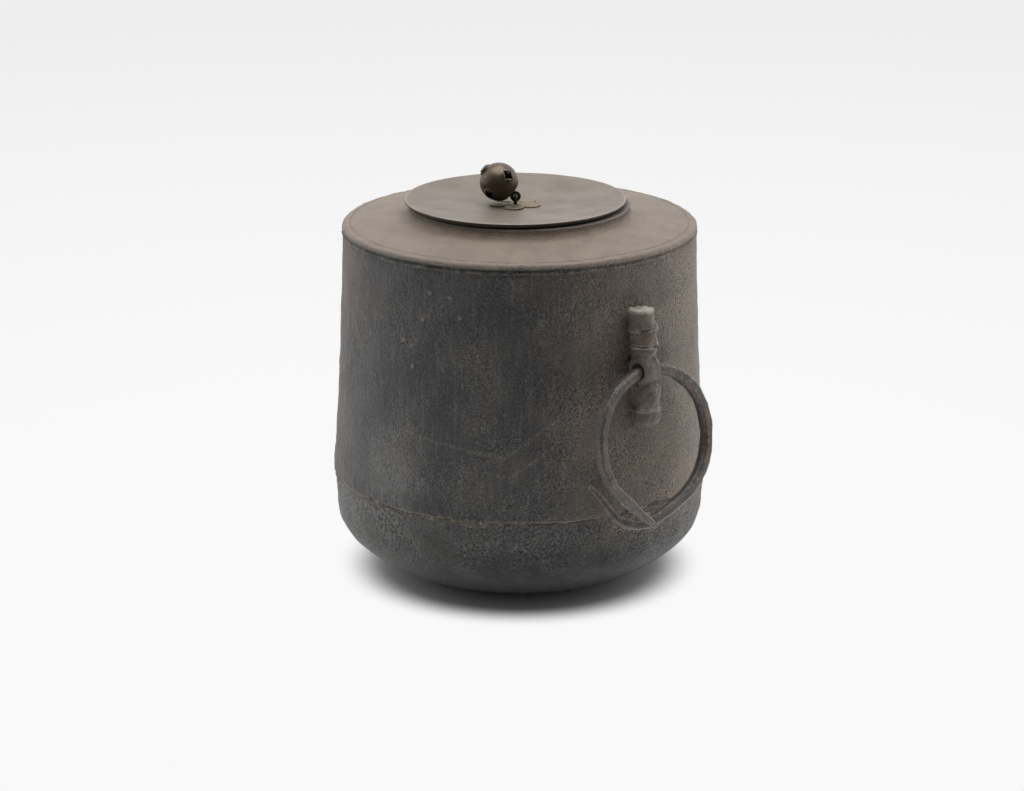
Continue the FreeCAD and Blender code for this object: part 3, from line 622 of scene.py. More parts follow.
def patinated_bronze(name, finish, tint, low, high, metal=1.0, shade=0.3, rim=None, hollow=None):
    """Patinated bronze: a satin metal, cloudy where handled, rubbed at its edges, with painted shade
    underneath; a rim gets a painted highlight and a hollow painted shade.
    """
    dark, worn = finish.wire_bronze_and_shade, finish.worn_bronze_and_highlight
    material, tree, surface, spot = start_material(name)
    cloud = add(tree, "TexNoise", {"Vector": spot, "Scale": per(16), "Detail": 3.0})
    freckle = add(tree, "TexNoise", {"Vector": spot, "Scale": per(1.3), "Detail": 5.0})
    facing = add(tree, "SeparateXYZ", {"Vector": add(tree, "TexCoord", out="Normal")}, "Z")
    rubbed = add(tree, "NewGeometry", out="Pointiness")
    skin = lay(tree, opaque(tint),
               (cloud, 0.35, 0.7, 0.2, dark),
               (freckle, 0.6, 0.8, 0.25, dark),
               (rubbed, 0.53, 0.6, 0.45, worn),
               (rubbed, 0.48, 0.44, 0.8, dark))
    # Painted highlight: a pale band along the rim's lip
    if rim:
        centre, radius = rim
        gap = add(tree, "VectorMath", {0: spot, 1: centre}, "Value", operation="DISTANCE")
        skin = lay(tree, skin, (gap, radius - 0.3 * MM, radius, 0.25, worn))
    # Painted shade: surfaces that face down are darkened
    skin = lay(tree, skin, (facing, shade, shade - 0.65, 0.9, dark))
    # Painted shade: the inside of the hollow ball is painted near black
    if hollow:
        centre, radius = hollow
        gap = add(tree, "VectorMath", {0: spot, 1: centre}, "Value", operation="DISTANCE")
        skin = lay(tree, skin, (gap, radius, radius - 0.25 * MM, 1.0, finish.hollow))
    surface.inputs["Metallic"].default_value = metal
    finish_skin(tree, surface, skin, (cloud, low, high), freckle, 0.02 * MM)
    return material


# Where the white card ends and the bench begins, ahead of the kettle
CARD_END, BENCH_START = 0.26, 0.4


def white_floor(stage, towards):
    """Matt white card with the kettle's shadow, plain white farther out, and a dark bench before it."""
    material, tree, surface, spot = start_material("White studio card")
    surface.inputs["Roughness"].default_value = 1.0
    surface.inputs["Specular IOR Level"].default_value = 0.0
    ahead = add(tree, "VectorMath", {0: spot, 1: towards}, "Value", operation="DOT_PRODUCT")
    card = lay(tree, opaque(stage.white), (ahead, CARD_END, BENCH_START, 1.0, stage.bench))
    tree.links.new(card, surface.inputs["Base Color"])
    gap = add(tree, "VectorMath", {0: spot}, "Value", operation="LENGTH")
    # Painted light falloff: the plain white is a little darker far off
    tone = lay(tree, opaque(stage.white), (gap, 0.35, 1.6, 1.0, stage.far_white))
    plain = add(tree, "Emission", {"Color": tone})

    # Polished pieces mirror the plain white as well, but not beyond the card
    mirrored = add(tree, "LightPath", out="Is Glossy Ray")
    through = add(tree, "LightPath", out="Is Transmission Ray")
    near = add(tree, "MapRange", {"Value": ahead, "From Min": BENCH_START, "From Max": CARD_END})
    mirrored = add(tree, "Math", {0: mirrored, 1: near}, operation="MULTIPLY")
    mirrored = add(tree, "Math", {0: mirrored, 1: through}, operation="MAXIMUM")
    seen = add(tree, "LightPath", out="Is Camera Ray")
    seen = add(tree, "Math", {0: mirrored, 1: seen}, operation="MAXIMUM")
    away = add(tree, "MapRange", {"Value": gap, "From Min": 70 * MM, "From Max": 98 * MM},
               interpolation_type="SMOOTHSTEP")
    share = add(tree, "Math", {0: away, 1: seen}, operation="MULTIPLY")
    mixed = add(tree, "MixShader", {0: share, 1: surface.outputs["BSDF"], 2: plain})
    tree.links.new(mixed, tree.nodes["Material Output"].inputs["Surface"])
    return material


# Shapes shared by several pieces

def wall_radius(sizes, height):
    """Radius of the wall's outer face at a height."""
    share = (height - sizes.seam) / (sizes.ridge - sizes.seam)
    return sizes.wall_foot - sizes.wall_draw_in * share - 4 * sizes.wall_bow * share * (1 - share)


def shoulder_point(sizes, radius, drop=0.0):
    """Point on the shoulder at a radius, or under it by a drop."""
    edge = wall_radius(sizes, sizes.ridge) + sizes.edge_stand - sizes.edge_round
    edge_height = sizes.ridge + 2 * sizes.band + sizes.edge_round
    return radius, edge_height + (edge - radius) * math.tan(sizes.shoulder_slope) - drop


def line_gap(point, first, last):
    """Distance of a flat point from a line between two others."""
    point, first, last = Vector(point), Vector(first), Vector(last)
    way = last - first
    share = max(0.0, min(1.0, (point - first).dot(way) / way.length_squared))
    return (point - first - way * share).length


# Faint cast lines on the wall, by direction in degrees and height
RELIEF_LINES = (
    ((-76.8, 96.1 * MM), (-48.7, 89.2 * MM), (-44.2, 87.5 * MM), (-28.3, 106.7 * MM)),
    ((-50.0, 80.5 * MM), (-42.7, 77.4 * MM), (-26.8, 96.4 * MM)),
)
RELIEF_WIDTH = 1.6 * MM
DROPLETS = (
    (-68.4, 167.7 * MM), (-61.5, 166.5 * MM), (-70.8, 154.1 * MM), (-58.2, 157.0 * MM),
    (-78.0, 142.2 * MM), (-74.8, 140.0 * MM), (-74.3, 129.5 * MM),
)
DROPLET_WIDTH = 1.6 * MM

# Two wavering lines near the cold side's limb
TENDRIL_TURN = -105.0
TENDRIL_LOW = 92 * MM
TENDRIL_HIGH = 152 * MM
TENDRIL_SWAY = 4.0
TENDRIL_WAVE = 13 * MM

# Gritty skin behind the lugs: half its width, its heights and how softly it ends
LUG_HALF = 7 * MM
LUG_LOW, LUG_HIGH = 100 * MM, 160 * MM
LUG_FADE = 8 * MM


class KETTLE_OT_wall(bpy.types.Operator):
    """Models the kettle's wall with its shoulder, neck and mouth"""
    bl_idname = "kettle.wall"
    bl_label = "Kettle wall"

    def execute(self, context):
        sizes = context.scene.kettle_sizes
        wall = turned("kettle_wall_cast", self.outline(sizes), sizes.around)
        self.roughen_skin(sizes, wall)
        iron = cast_iron_wall(sizes, context.scene.kettle_finish)
        hand_over(wall, "kettle", "wall_iron", iron, "kettle_wall")
        return {"FINISHED"}

    @staticmethod
    def outline(sizes):
        """Up the outer face from the seam, over the mouth and down the inside."""
        fine, coarse, crisp = sizes.grid, 6 * sizes.grid, 0.35 * sizes.grid
        lap = sizes.wall_foot - sizes.wall
        lap_top = sizes.seam + sizes.spigot_height
        top = wall_radius(sizes, sizes.ridge)
        edge = top + sizes.edge_stand
        line = edge - sizes.line_inset
        spread = sizes.neck + sizes.neck_spread
        spread_top = shoulder_point(sizes, spread)[1] + sizes.neck_spread
        inner_edge = top - sizes.wall
        inner_top = shoulder_point(sizes, inner_edge - sizes.inner_corner, sizes.shoulder_wall)
        return outline(
            (lap, sizes.seam),
            ((sizes.wall_foot - 0.4 * MM, sizes.seam), 0, coarse),
            ((sizes.wall_foot, sizes.seam + 0.4 * MM), 0.1 * MM, crisp),
            ((top, sizes.ridge), -sizes.wall_bow, fine),
            ((top, sizes.ridge + sizes.band), sizes.ridge_stand, crisp),
            ((edge, sizes.ridge + 2 * sizes.band), -sizes.groove, crisp),
            (shoulder_point(sizes, edge - sizes.edge_round), QUARTER_SAG * sizes.edge_round, 0.5 * fine),
            (shoulder_point(sizes, line), 0, fine),
            (shoulder_point(sizes, line - sizes.line_width / 2, sizes.line_depth), 0, crisp),
            (shoulder_point(sizes, line - sizes.line_width), 0, crisp),
            (shoulder_point(sizes, spread), sizes.shoulder_dome, fine),
            ((sizes.neck, spread_top), -QUARTER_SAG * sizes.neck_spread, 0.8 * fine),
            ((sizes.neck, sizes.mouth_height - sizes.neck_lip), 0, fine),
            ((sizes.neck - sizes.neck_lip, sizes.mouth_height), QUARTER_SAG * sizes.neck_lip, crisp),
            ((sizes.mouth, sizes.mouth_height), 0, fine),
            (shoulder_point(sizes, sizes.mouth, sizes.shoulder_wall), 0, coarse),
            (inner_top, 0, coarse),
            ((inner_edge, inner_top[1] - sizes.inner_corner), -QUARTER_SAG * sizes.inner_corner, 2 * fine),
            ((lap, lap_top), sizes.wall_bow, coarse),
            ((lap, sizes.seam), 0, coarse))

    @staticmethod
    def roughen_skin(sizes, wall):
        """Casts the faint lines, and roughens the outside, most at seam, edge and lugs."""
        def outside(spot):
            radius = math.hypot(spot.x, spot.y)
            if spot.z > sizes.ridge + 2 * sizes.band:
                depth = spot.z - shoulder_point(sizes, radius)[1] + sizes.shoulder_wall / 2
                above = smooth_step(depth, 0, sizes.wall / 3)
                return 0.55 * above * smooth_step(radius, sizes.mouth, sizes.neck)
            depth = radius - wall_radius(sizes, spot.z) + sizes.wall
            return smooth_step(depth, 0.3 * sizes.wall, 0.7 * sizes.wall)

        def near_seam(spot):
            return outside(spot) * (1 - smooth_step(spot.z - sizes.seam, 0, 16 * MM))

        def near_lug(spot):
            beside = smooth_step(abs(spot.y), 2 * LUG_HALF, LUG_HALF)
            above = smooth_step(spot.z, LUG_LOW - LUG_FADE, LUG_LOW)
            below = smooth_step(spot.z, LUG_HIGH + LUG_FADE, LUG_HIGH)
            return outside(spot) * beside * above * below

        def near_edge(spot):
            middle = sizes.ridge + 1.5 * sizes.band
            return outside(spot) * (1 - smooth_step(abs(spot.z - middle), 1.5 * sizes.band, 3 * sizes.band))

        def relief(spot):
            if spot.z > sizes.ridge - 2 * MM or spot.z < sizes.seam + 2 * MM:
                return 0
            degrees = math.degrees(math.atan2(spot.y, spot.x))
            run = math.radians(1) * wall_radius(sizes, spot.z)
            flat = (degrees * run, spot.z)
            best = 0.0
            for points in RELIEF_LINES:
                for first, last in zip(points, points[1:]):
                    gap = line_gap(flat, (first[0] * run, first[1]), (last[0] * run, last[1]))
                    best = max(best, 0.45 - 0.45 * (gap / RELIEF_WIDTH) ** 2)
            for turned_to, height in DROPLETS:
                gap = math.hypot(flat[0] - turned_to * run, 0.85 * (flat[1] - height))
                best = max(best, 1 - (gap / DROPLET_WIDTH) ** 2)
            if TENDRIL_LOW < spot.z < TENDRIL_HIGH:
                wave = 2 * math.pi * spot.z / TENDRIL_WAVE
                sway = TENDRIL_SWAY * (0.7 * math.sin(wave) + 0.4 * math.sin(1.7 * wave))
                for start in (TENDRIL_TURN - TENDRIL_SWAY, TENDRIL_TURN + TENDRIL_SWAY):
                    best = max(best, 0.6 - 0.6 * (abs(degrees - start - sway) * run / RELIEF_WIDTH) ** 2)
            return best * outside(spot)

        skin = weigh(wall, "skin", outside)
        seam = weigh(wall, "seam", near_seam)
        edge = weigh(wall, "edge", near_edge)
        grit = weigh(wall, "grit", near_lug)
        push(wall, "lines", relief, 0.5 * MM)
        roughen(wall, 42 * MM, 1.0 * MM, skin)
        roughen(wall, 7 * MM, 0.6 * MM, skin, noise_depth=3)
        roughen(wall, 2.8 * MM, 0.4 * MM, skin, noise_depth=2)
        roughen(wall, 24 * MM, 2.4 * MM, seam)
        roughen(wall, 4 * MM, 1.6 * MM, seam, noise_depth=3)
        roughen(wall, 2.4 * MM, 1.6 * MM, grit, noise_depth=2)
        roughen(wall, 4 * MM, 1.6 * MM, edge, noise_depth=3)


class KETTLE_OT_bottom(bpy.types.Operator):
    """Models the bowl that sits in the hearth, and the crumbling putty of its seam"""
    bl_idname = "kettle.bottom"
    bl_label = "Kettle bottom and seam"

    def execute(self, context):
        sizes = context.scene.kettle_sizes
        finish = context.scene.kettle_finish
        bowl = turned("kettle_bottom_cast", self.outline(sizes), sizes.around)
        self.roughen_skin(sizes, bowl)
        hand_over(bowl, "kettle", "bowl_iron", cast_iron_bowl(finish), "kettle_bottom")
        putty = lacquer_putty(finish)
        crust = self.seam_crust(sizes)
        hand_over(crust, "kettle", "lacquer_putty", putty, "seam_putty")
        dress("sounding_plates", cast_iron_lug(finish, sizes.seam))
        return {"FINISHED"}

    @staticmethod
    def outline(sizes):
        """Foot, two arcs that meet the flank, ledge and spigot, and the inside back to the axis."""
        fine, coarse = sizes.grid, 5 * sizes.grid
        bowl = sizes.wall_foot - sizes.overhang
        ledge = sizes.seam - sizes.putty_bed
        turn_sine, turn_cosine = math.sin(sizes.knuckle_break), math.cos(sizes.knuckle_break)
        lean_sine, lean_cosine = math.sin(sizes.flank_taper), math.cos(sizes.flank_taper)
        lean = lean_sine / lean_cosine
        run = sizes.knuckle * (lean_cosine - turn_sine)
        rise = sizes.knuckle * (turn_cosine - lean_sine)
        reach = bowl - sizes.foot - run - (ledge - rise) * lean
        base = reach / (turn_sine - (1 - turn_cosine) * lean)
        hub = (sizes.foot + (base - sizes.knuckle) * turn_sine, base - (base - sizes.knuckle) * turn_cosine)

        upright = math.pi / 2 - sizes.flank_taper
        base_centre = (sizes.foot, base)
        bore = sizes.spigot - sizes.spigot_wall
        top = sizes.seam + sizes.spigot_height
        points = outline((0, 0), ((sizes.foot, 0), 0, coarse))
        points += arc(base_centre, base, 0, sizes.knuckle_break, fine)[1:]
        points += arc(hub, sizes.knuckle, sizes.knuckle_break, upright, fine)[1:]
        points += outline(
            points[-1], ((bowl, ledge), 0, fine), ((sizes.spigot, ledge), 0, coarse),
            ((sizes.spigot, top), 0, coarse), ((bore, top), 0, coarse), ((bore, ledge), 0, coarse))[1:]
        points += arc(hub, sizes.knuckle - sizes.bowl_wall, upright, sizes.knuckle_break, coarse)
        points += arc(base_centre, base - sizes.bowl_wall, sizes.knuckle_break, 0, coarse)[1:]
        return points + [(0, sizes.bowl_wall)]

    @staticmethod
    def roughen_skin(sizes, bowl):
        """Roughens the outside, most where it is scaled under the seam."""
        def outside(spot):
            radius = math.hypot(spot.x, spot.y)
            outer = smooth_step(radius, sizes.spigot, sizes.spigot + 1.5 * MM)
            under = 1 - smooth_step(spot.z, sizes.bowl_wall - 0.5 * MM, sizes.bowl_wall)
            slope = radius - sizes.foot - 1.3 * spot.z
            return max(outer, under if radius > sizes.foot else 0, smooth_step(slope, -4 * MM, -1 * MM))

        def scaled(spot):
            return outside(spot) * smooth_step(spot.z, 18 * MM, 42 * MM)

        skin = weigh(bowl, "skin", outside)
        scale = weigh(bowl, "scale", scaled)
        roughen(bowl, 36 * MM, 0.9 * MM, skin)
        roughen(bowl, 9 * MM, 1.0 * MM, scale, noise_depth=3)
        roughen(bowl, 3.2 * MM, 1.0 * MM, scale, noise_depth=3)

    @staticmethod
    def seam_crust(sizes):
        """Crumbled putty that swells out of the seam."""
        bowl = sizes.wall_foot - sizes.overhang
        low, high = sizes.seam - 2.2 * sizes.putty_bed, sizes.seam + 0.9 * sizes.putty_bed
        crust = turned("seam_crust", outline(
            (bowl - 2.5 * MM, low), ((bowl - 0.5 * MM, low), 0, sizes.grid),
            ((bowl, high), 0.4 * MM, 0.4 * sizes.grid),
            ((bowl - 2.5 * MM, high), 0, sizes.grid), ((bowl - 2.5 * MM, low), 0, sizes.grid)), sizes.around)
        roughen(crust, 15 * MM, 4.0 * MM, noise_depth=2)
        roughen(crust, 2.6 * MM, 1.6 * MM, noise_depth=3)
        return crust


class KETTLE_OT_lugs(bpy.types.Operator):
    """Models the two bamboo-stalk lugs, roughened like old castings"""
    bl_idname = "kettle.lugs"
    bl_label = "Lugs"

    def execute(self, context):
        sizes = context.scene.kettle_sizes
        bore = Vector(JOINTS["ring_right_swing"]["pos_m"])
        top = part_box("lug_right")[1].z

        def away_from_bore(spot):
            return smooth_step(math.hypot(spot.x - bore.x, spot.z - bore.z), 4.5 * MM, 7 * MM)

        def eye_face(spot):
            gap = math.hypot(spot.x - bore.x, spot.z - bore.z)
            outward = smooth_step(spot.x - bore.x, 0, 4 * MM)
            return outward * smooth_step(gap, 5 * MM, 6.4 * MM) * (1 - smooth_step(gap, 8.5 * MM, 10.5 * MM))

        def beside_eye(spot):
            gap = abs(spot.z - bore.z)
            outward = smooth_step(spot.x - bore.x, -3 * MM, 2 * MM)
            return outward * smooth_step(gap, 5 * MM, 9 * MM) * (1 - smooth_step(gap, 10 * MM, 20 * MM))

        def round_eye(spot):
            gap = math.hypot(spot.x - bore.x, spot.z - bore.z)
            return smooth_step(gap, 5.2 * MM, 6.5 * MM) * (1 - smooth_step(gap, 9 * MM, 11 * MM))

        def eye_side(spot):
            level = 1 - smooth_step(abs(spot.z - bore.z), 5 * MM, 9 * MM)
            return level * smooth_step(spot.y, 2 * MM, 6 * MM)

        def upper_flank(spot):
            above = smooth_step(spot.z, bore.z + 9 * MM, bore.z + 13 * MM)
            below = smooth_step(spot.z, top - 5 * MM, top - 11 * MM)
            return smooth_step(spot.y, 0, 4 * MM) * above * below

        def lower_stalk(spot):
            return (1 - smooth_step(spot.z, bore.z - 8 * MM, bore.z + 2 * MM)) * away_from_bore(spot)

        def upper_stalk(spot):
            return smooth_step(spot.z, bore.z, top)

        def broken_top(spot):
            return smooth_step(spot.z, top - 4 * MM, top - 0.6 * MM)

        right = node_copy("lug_right_cast", "lug_right")
        reskin(right, sizes.voxel, 3)
        push(right, "eye", eye_face, -1.3 * MM, direction="X")
        push(right, "beside", beside_eye, 1.6 * MM, direction="X")
        around = weigh(right, "around", round_eye)
        shape(right, "SMOOTH", factor=0.5, iterations=80, vertex_group=around)
        push(right, "lower", lower_stalk, 0.8 * MM)
        push(right, "side", eye_side, -1.4 * MM, direction="Y")
        push(right, "flank", upper_flank, 1.3 * MM, direction="Y")
        push(right, "upper", upper_stalk, -1.8 * MM, direction="Y")
        crown = push(right, "crown", broken_top, -0.9 * MM, direction="Z")
        skin = weigh(right, "skin", away_from_bore)
        roughen(right, 7 * MM, 2.2 * MM, skin, noise_depth=1)
        roughen(right, 2.4 * MM, 0.5 * MM, skin, noise_depth=2)
        roughen(right, 4 * MM, 3.0 * MM, crown, noise_depth=1)
        left = half_turn(right, "lug_left_cast")
        iron = cast_iron_lug(context.scene.kettle_finish, top)
        hand_over(right, "kettle", "lug_iron", iron, "lug_right")
        hand_over(left, "kettle", "lug_iron", iron, "lug_left")
        return {"FINISHED"}


def half_turn(piece, name):
    """Copy of a piece with its own mesh, on the other side of the kettle."""
    activate(piece)
    bpy.ops.object.duplicate()
    copy = bpy.context.object
    copy.name = name
    copy.data.name = name
    place(copy, Matrix.Rotation(math.pi, 4, "Z"))
    return copy


class KETTLE_OT_rings(bpy.types.Operator):
    """Models the two open rings, hammered from bar with tapered ends"""
    bl_idname = "kettle.rings"
    bl_label = "Rings"

    def execute(self, context):
        sizes = context.scene.kettle_sizes
        bore = Vector(JOINTS["ring_right_swing"]["pos_m"])

        def away_from_bore(spot):
            return 0.25 + 0.75 * smooth_step((spot - bore).length, 8 * MM, 13 * MM)

        def far_side(spot):
            return smooth_step(spot.y, 6 * MM, 28 * MM)

        def near_side(spot):
            above_end = smooth_step(spot.z, bore.z - 62 * MM, bore.z - 45 * MM)
            return above_end * smooth_step(-spot.y, 6 * MM, 28 * MM)

        right = node_copy("ring_right_forged", "ring_right")
        reskin(right, sizes.voxel, 1)
        far = push(right, "far", far_side, 1.1 * MM, direction="Y")
        shape(right, "DISPLACE", strength=0.35 * MM, mid_level=0.0, vertex_group=far)
        push(right, "near", near_side, -1.5 * MM, direction="Y")
        skin = weigh(right, "skin", away_from_bore)
        roughen(right, 10 * MM, 1.0 * MM, skin, noise_depth=1)
        roughen(right, 2.6 * MM, 0.3 * MM, skin, noise_depth=3)
        left = half_turn(right, "ring_left_forged")
        iron = forged_iron(context.scene.kettle_finish)
        hand_over(right, "ring_right", "forged_iron", iron, "ring_right")
        hand_over(left, "ring_left", "forged_iron", iron, "ring_left")
        return {"FINISHED"}


def lid_centre():
    """Where the lid's axis stands: the lid lies a little off the kettle's axis."""
    pivot = Vector(JOINTS["knob_loll"]["pos_m"])
    return Matrix.Translation((pivot.x, pivot.y, 0))


class KETTLE_OT_lid(bpy.types.Operator):
    """Models the dished bronze lid"""
    bl_idname = "kettle.lid"
    bl_label = "Lid"

    def execute(self, context):
        sizes = context.scene.lid_sizes
        finish = context.scene.kettle_finish
        mouth = context.scene.kettle_sizes.mouth_height
        top = mouth + sizes.rim
        floor = top - sizes.dish
        under = floor - sizes.plate
        lip = sizes.lid - sizes.lip
        step = 1.2 * MM
        crisp = 0.15 * MM
        under_flat = 13.9 * MM
        points = outline(
            (0, under), ((under_flat, under), 0, 3 * step),
            ((sizes.band_inside, mouth), -sizes.dish_bow, 2 * step),
            ((sizes.seat_radius, mouth), 0, 2 * step),
            ((sizes.lid, top - sizes.lip), 0, step),
            ((sizes.lid, top - sizes.lip / 2), 0, crisp),
            ((sizes.lid - sizes.lip / 2, top), QUARTER_SAG * sizes.lip / 2, crisp),
            ((lip, top), 0, crisp),
            ((sizes.flat, floor), -sizes.dish_bow, step),
            ((0, floor), 0, step))
        lid = turned("lid_plate_turned", points, 288, 50)
        roughen(lid, 30 * MM, 0.25 * MM)
        place(lid, lid_centre())
        middle = lid_centre() @ Vector((0, 0, top))
        # The lid gets a painted highlight along its lip and stronger painted shade on its side
        bronze = patinated_bronze("Bronze, grey-brown patina", finish, finish.lid_bronze, 0.45, 0.55,
                                  metal=0.35, shade=0.7, rim=(middle, lip))
        hand_over(lid, "lid", "lid_bronze", bronze, "lid_plate")
        dark = patinated_bronze("Bronze, blackened band", finish, finish.wire_bronze_and_shade, 0.35, 0.5)
        dress("lid_band", dark)
        dress("staple_washer", dark)
        return {"FINISHED"}


def wire(name, node):
    """New piece of wire from a CAD node, made a little fuller all over."""
    piece = node_copy(name, node)
    reskin(piece, FINE_VOXEL, 2)
    shape(piece, "DISPLACE", strength=0.18 * MM, mid_level=0.0)
    return piece


class KETTLE_OT_seat(bpy.types.Operator):
    """Models the plum-blossom seat of the knob and its staple"""
    bl_idname = "kettle.seat"
    bl_label = "Knob seat and staple"

    def execute(self, context):
        sizes = context.scene.lid_sizes
        finish = context.scene.kettle_finish
        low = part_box("knob_seat")[0].z
        high = low + sizes.petal_rise
        bevel = 0.35 * MM
        step = 0.6 * MM
        petal = turned("knob_seat_petals", outline(
            (0, low), ((sizes.petal, low), 0, 4 * step), ((sizes.petal, high - bevel), 0, step),
            ((sizes.petal - bevel, high), QUARTER_SAG * bevel, bevel / 3),
            ((0, high), -sizes.petal_dome, step)), 72, 50)
        petals = [petal]
        for _ in range(sizes.petals - 1):
            activate(petal)
            bpy.ops.object.duplicate()
            petals.append(bpy.context.object)
        for count, copy in enumerate(petals):
            towards = Matrix.Rotation(sizes.petal_turn + count * 2 * math.pi / sizes.petals, 4, "Z")
            outward = Matrix.Translation((sizes.petal_reach, 0, high))
            lapped = Matrix.Rotation(sizes.petal_lap, 4, "X") @ Matrix.Translation((0, 0, -high))
            place(copy, lid_centre() @ towards @ outward @ lapped)
        heart = turned("knob_seat_heart", outline(
            (0, low), ((sizes.petal, low), 0, 4 * step), ((sizes.petal, high - bevel), 0, step),
            ((0, high - bevel), 0, 2 * step)), 72, 50)
        place(heart, lid_centre())
        activate(petal)
        for copy in petals[1:] + [heart]:
            copy.select_set(True)
        bpy.ops.object.join()
        reskin(petal, FINE_VOXEL, 2)
        gold = patinated_bronze("Bronze, golden patina", finish, finish.petal_bronze, 0.4, 0.5, metal=0.5)
        hand_over(petal, "lid", "petal_bronze", gold, "knob_seat")
        staple = wire("knob_staple_wire", "knob_staple")
        dark = patinated_bronze("Bronze, blackened", finish, finish.wire_bronze_and_shade, 0.35, 0.5)
        hand_over(staple, "lid", "knob_bronze", dark, "knob_staple")
        return {"FINISHED"}


def hole_sag(sizes):
    """How far the hollow sides of a piercing bow in."""
    return sizes.hole_arc - math.sqrt(sizes.hole_arc ** 2 - (sizes.hole / 2) ** 2)


def on_knob(sizes):
    """Place of the lolling knob: from upright over the pivot to its lean on the lid."""
    pivot = Matrix.Translation(JOINTS["knob_loll"]["pos_m"])
    return pivot @ Matrix.Rotation(sizes.lean_way, 4, "Z") @ Matrix.Rotation(sizes.lean, 4, "Y")


class KETTLE_OT_knob(bpy.types.Operator):
    """Models the pierced ball of the knob, its cap and its eye pin"""
    bl_idname = "kettle.knob"
    bl_label = "Knob"

    def execute(self, context):
        sizes = context.scene.lid_sizes
        finish = context.scene.kettle_finish
        middle = on_knob(sizes) @ Vector((0, 0, sizes.ball_stand))
        bronze = patinated_bronze("Bronze, dark patina", finish, finish.knob_bronze, 0.32, 0.44,
                                  metal=0.75, hollow=(middle, sizes.ball - 0.1 * MM))
        ball = self.ball(sizes)
        for count in range(sizes.holes):
            self.pierce(sizes, ball, (count + 0.5) * 2 * math.pi / sizes.holes)
        activate(ball)
        bpy.ops.object.shade_smooth_by_angle(angle=math.radians(40))
        place(ball, on_knob(sizes))
        hand_over(ball, "knob", "knob_bronze", bronze, "knob_ball")
        cap = self.cap(sizes)
        place(cap, on_knob(sizes))
        patina = patinated_bronze(
            "Bronze, dark patina of the cap", finish, finish.knob_bronze, 0.32, 0.44, metal=0.75)
        hand_over(cap, "knob", "knob_bronze", patina, "knob_cap")
        pin = wire("knob_eye_pin_wire", "knob_eye_pin")
        dark = patinated_bronze("Bronze, blackened pin", finish, finish.wire_bronze_and_shade, 0.35, 0.5)
        hand_over(pin, "knob", "knob_bronze", dark, "knob_eye_pin")
        return {"FINISHED"}

    @staticmethod
    def ball(sizes):
        """Hollow ball, upright over the pivot, with raised leaves where it is to be pierced."""
        base = -math.sqrt(sizes.ball ** 2 - sizes.ball_base ** 2)
        pole = math.sqrt(sizes.ball ** 2 - sizes.cap ** 2)

        def globe(radius, low, high, step):
            points = arc((0, 0), radius, math.acos(-low / radius), math.acos(-high / radius), step)
            return [(0, low)] + points + [(0, high)]

        ball = turned("knob_ball_pierced", globe(sizes.ball, base, pole, 0.28 * MM), 224)
        sag = hole_sag(sizes)

        def leaves(spot):
            degrees = math.atan2(spot.y, spot.x) * sizes.holes / (2 * math.pi)
            across = (degrees - math.floor(degrees) - 0.5) * 2 * math.pi / sizes.holes * sizes.ball
            up = math.asin(max(-1, min(1, spot.z / sizes.ball))) * sizes.ball
            best = 0.0
            for side in range(4):
                heading = math.radians(45 + 90 * side)
                out = across * math.cos(heading) + up * math.sin(heading) - sizes.hole / 2
                along = up * math.cos(heading) - across * math.sin(heading)
                half = math.sqrt(max(0, sizes.hole_arc ** 2 - along ** 2)) - sizes.hole_arc + sag
                if half > 0:
                    best = max(best, 1 - (out / (2.2 * half)) ** 2)
            return best

        push(ball, "leaves", leaves, sizes.leaf_rise)
        wall = sizes.ball_wall
        inside = globe(sizes.ball - wall, base + wall, pole - wall, 0.8 * MM)
        hollow = turned("knob_hollow", inside, 96)
        shape(ball, "BOOLEAN", object=hollow, operation="DIFFERENCE", solver="EXACT")
        bpy.data.objects.remove(hollow)
        place(ball, Matrix.Translation((0, 0, sizes.ball_stand)))
        return ball

    @staticmethod
    def pierce(sizes, ball, heading):
        """Cuts one four-sided piercing with hollow sides."""
        corner = sizes.hole / math.sqrt(2)
        corners = [(corner * math.cos(k * math.pi / 2), corner * math.sin(k * math.pi / 2)) for k in range(5)]
        sag = hole_sag(sizes)
        points = [corners[0]]
        for end in corners[1:]:
            points += bow(points[-1], end, -sag, sizes.hole / 8)
        cutter = trace("piercing", [(sizes.ball / 2, y, z) for y, z in points])
        bpy.ops.mesh.edge_face_add()
        bpy.ops.mesh.extrude_region_move(TRANSFORM_OT_translate={"value": (sizes.ball, 0, 0)})
        bpy.ops.mesh.select_all(action="SELECT")
        bpy.ops.mesh.normals_make_consistent(inside=False)
        bpy.ops.object.mode_set(mode="OBJECT")
        place(cutter, Matrix.Translation((0, 0, sizes.ball_stand)) @ Matrix.Rotation(heading, 4, "Z"))
        shape(ball, "BOOLEAN", object=cutter, operation="DIFFERENCE", solver="EXACT")
        bpy.data.objects.remove(cutter)

    @staticmethod
    def cap(sizes):
        """Two-tier disc on the ball's pole."""
        foot = sizes.ball_stand + math.sqrt(sizes.ball ** 2 - sizes.cap ** 2)
        hole = sizes.shank / 2 + 0.05 * MM
        inner = sizes.cap - sizes.cap_step
        soft = 0.15 * MM
        return turned("knob_cap_turned", outline(
            (hole, foot), ((sizes.cap, foot), 0, 1 * MM),
            ((sizes.cap, foot + sizes.cap_tier - soft), 0, 1 * MM),
            ((sizes.cap - soft, foot + sizes.cap_tier), QUARTER_SAG * soft, soft / 3),
            ((inner, foot + sizes.cap_tier), 0, 1 * MM),
            ((inner, foot + 2 * sizes.cap_tier - soft), 0, 1 * MM),
            ((inner - soft, foot + 2 * sizes.cap_tier), QUARTER_SAG * soft, soft / 3),
            ((hole, foot + 2 * sizes.cap_tier), 0, 1 * MM),
            ((hole, foot), 0, 1 * MM)), 72, 40)


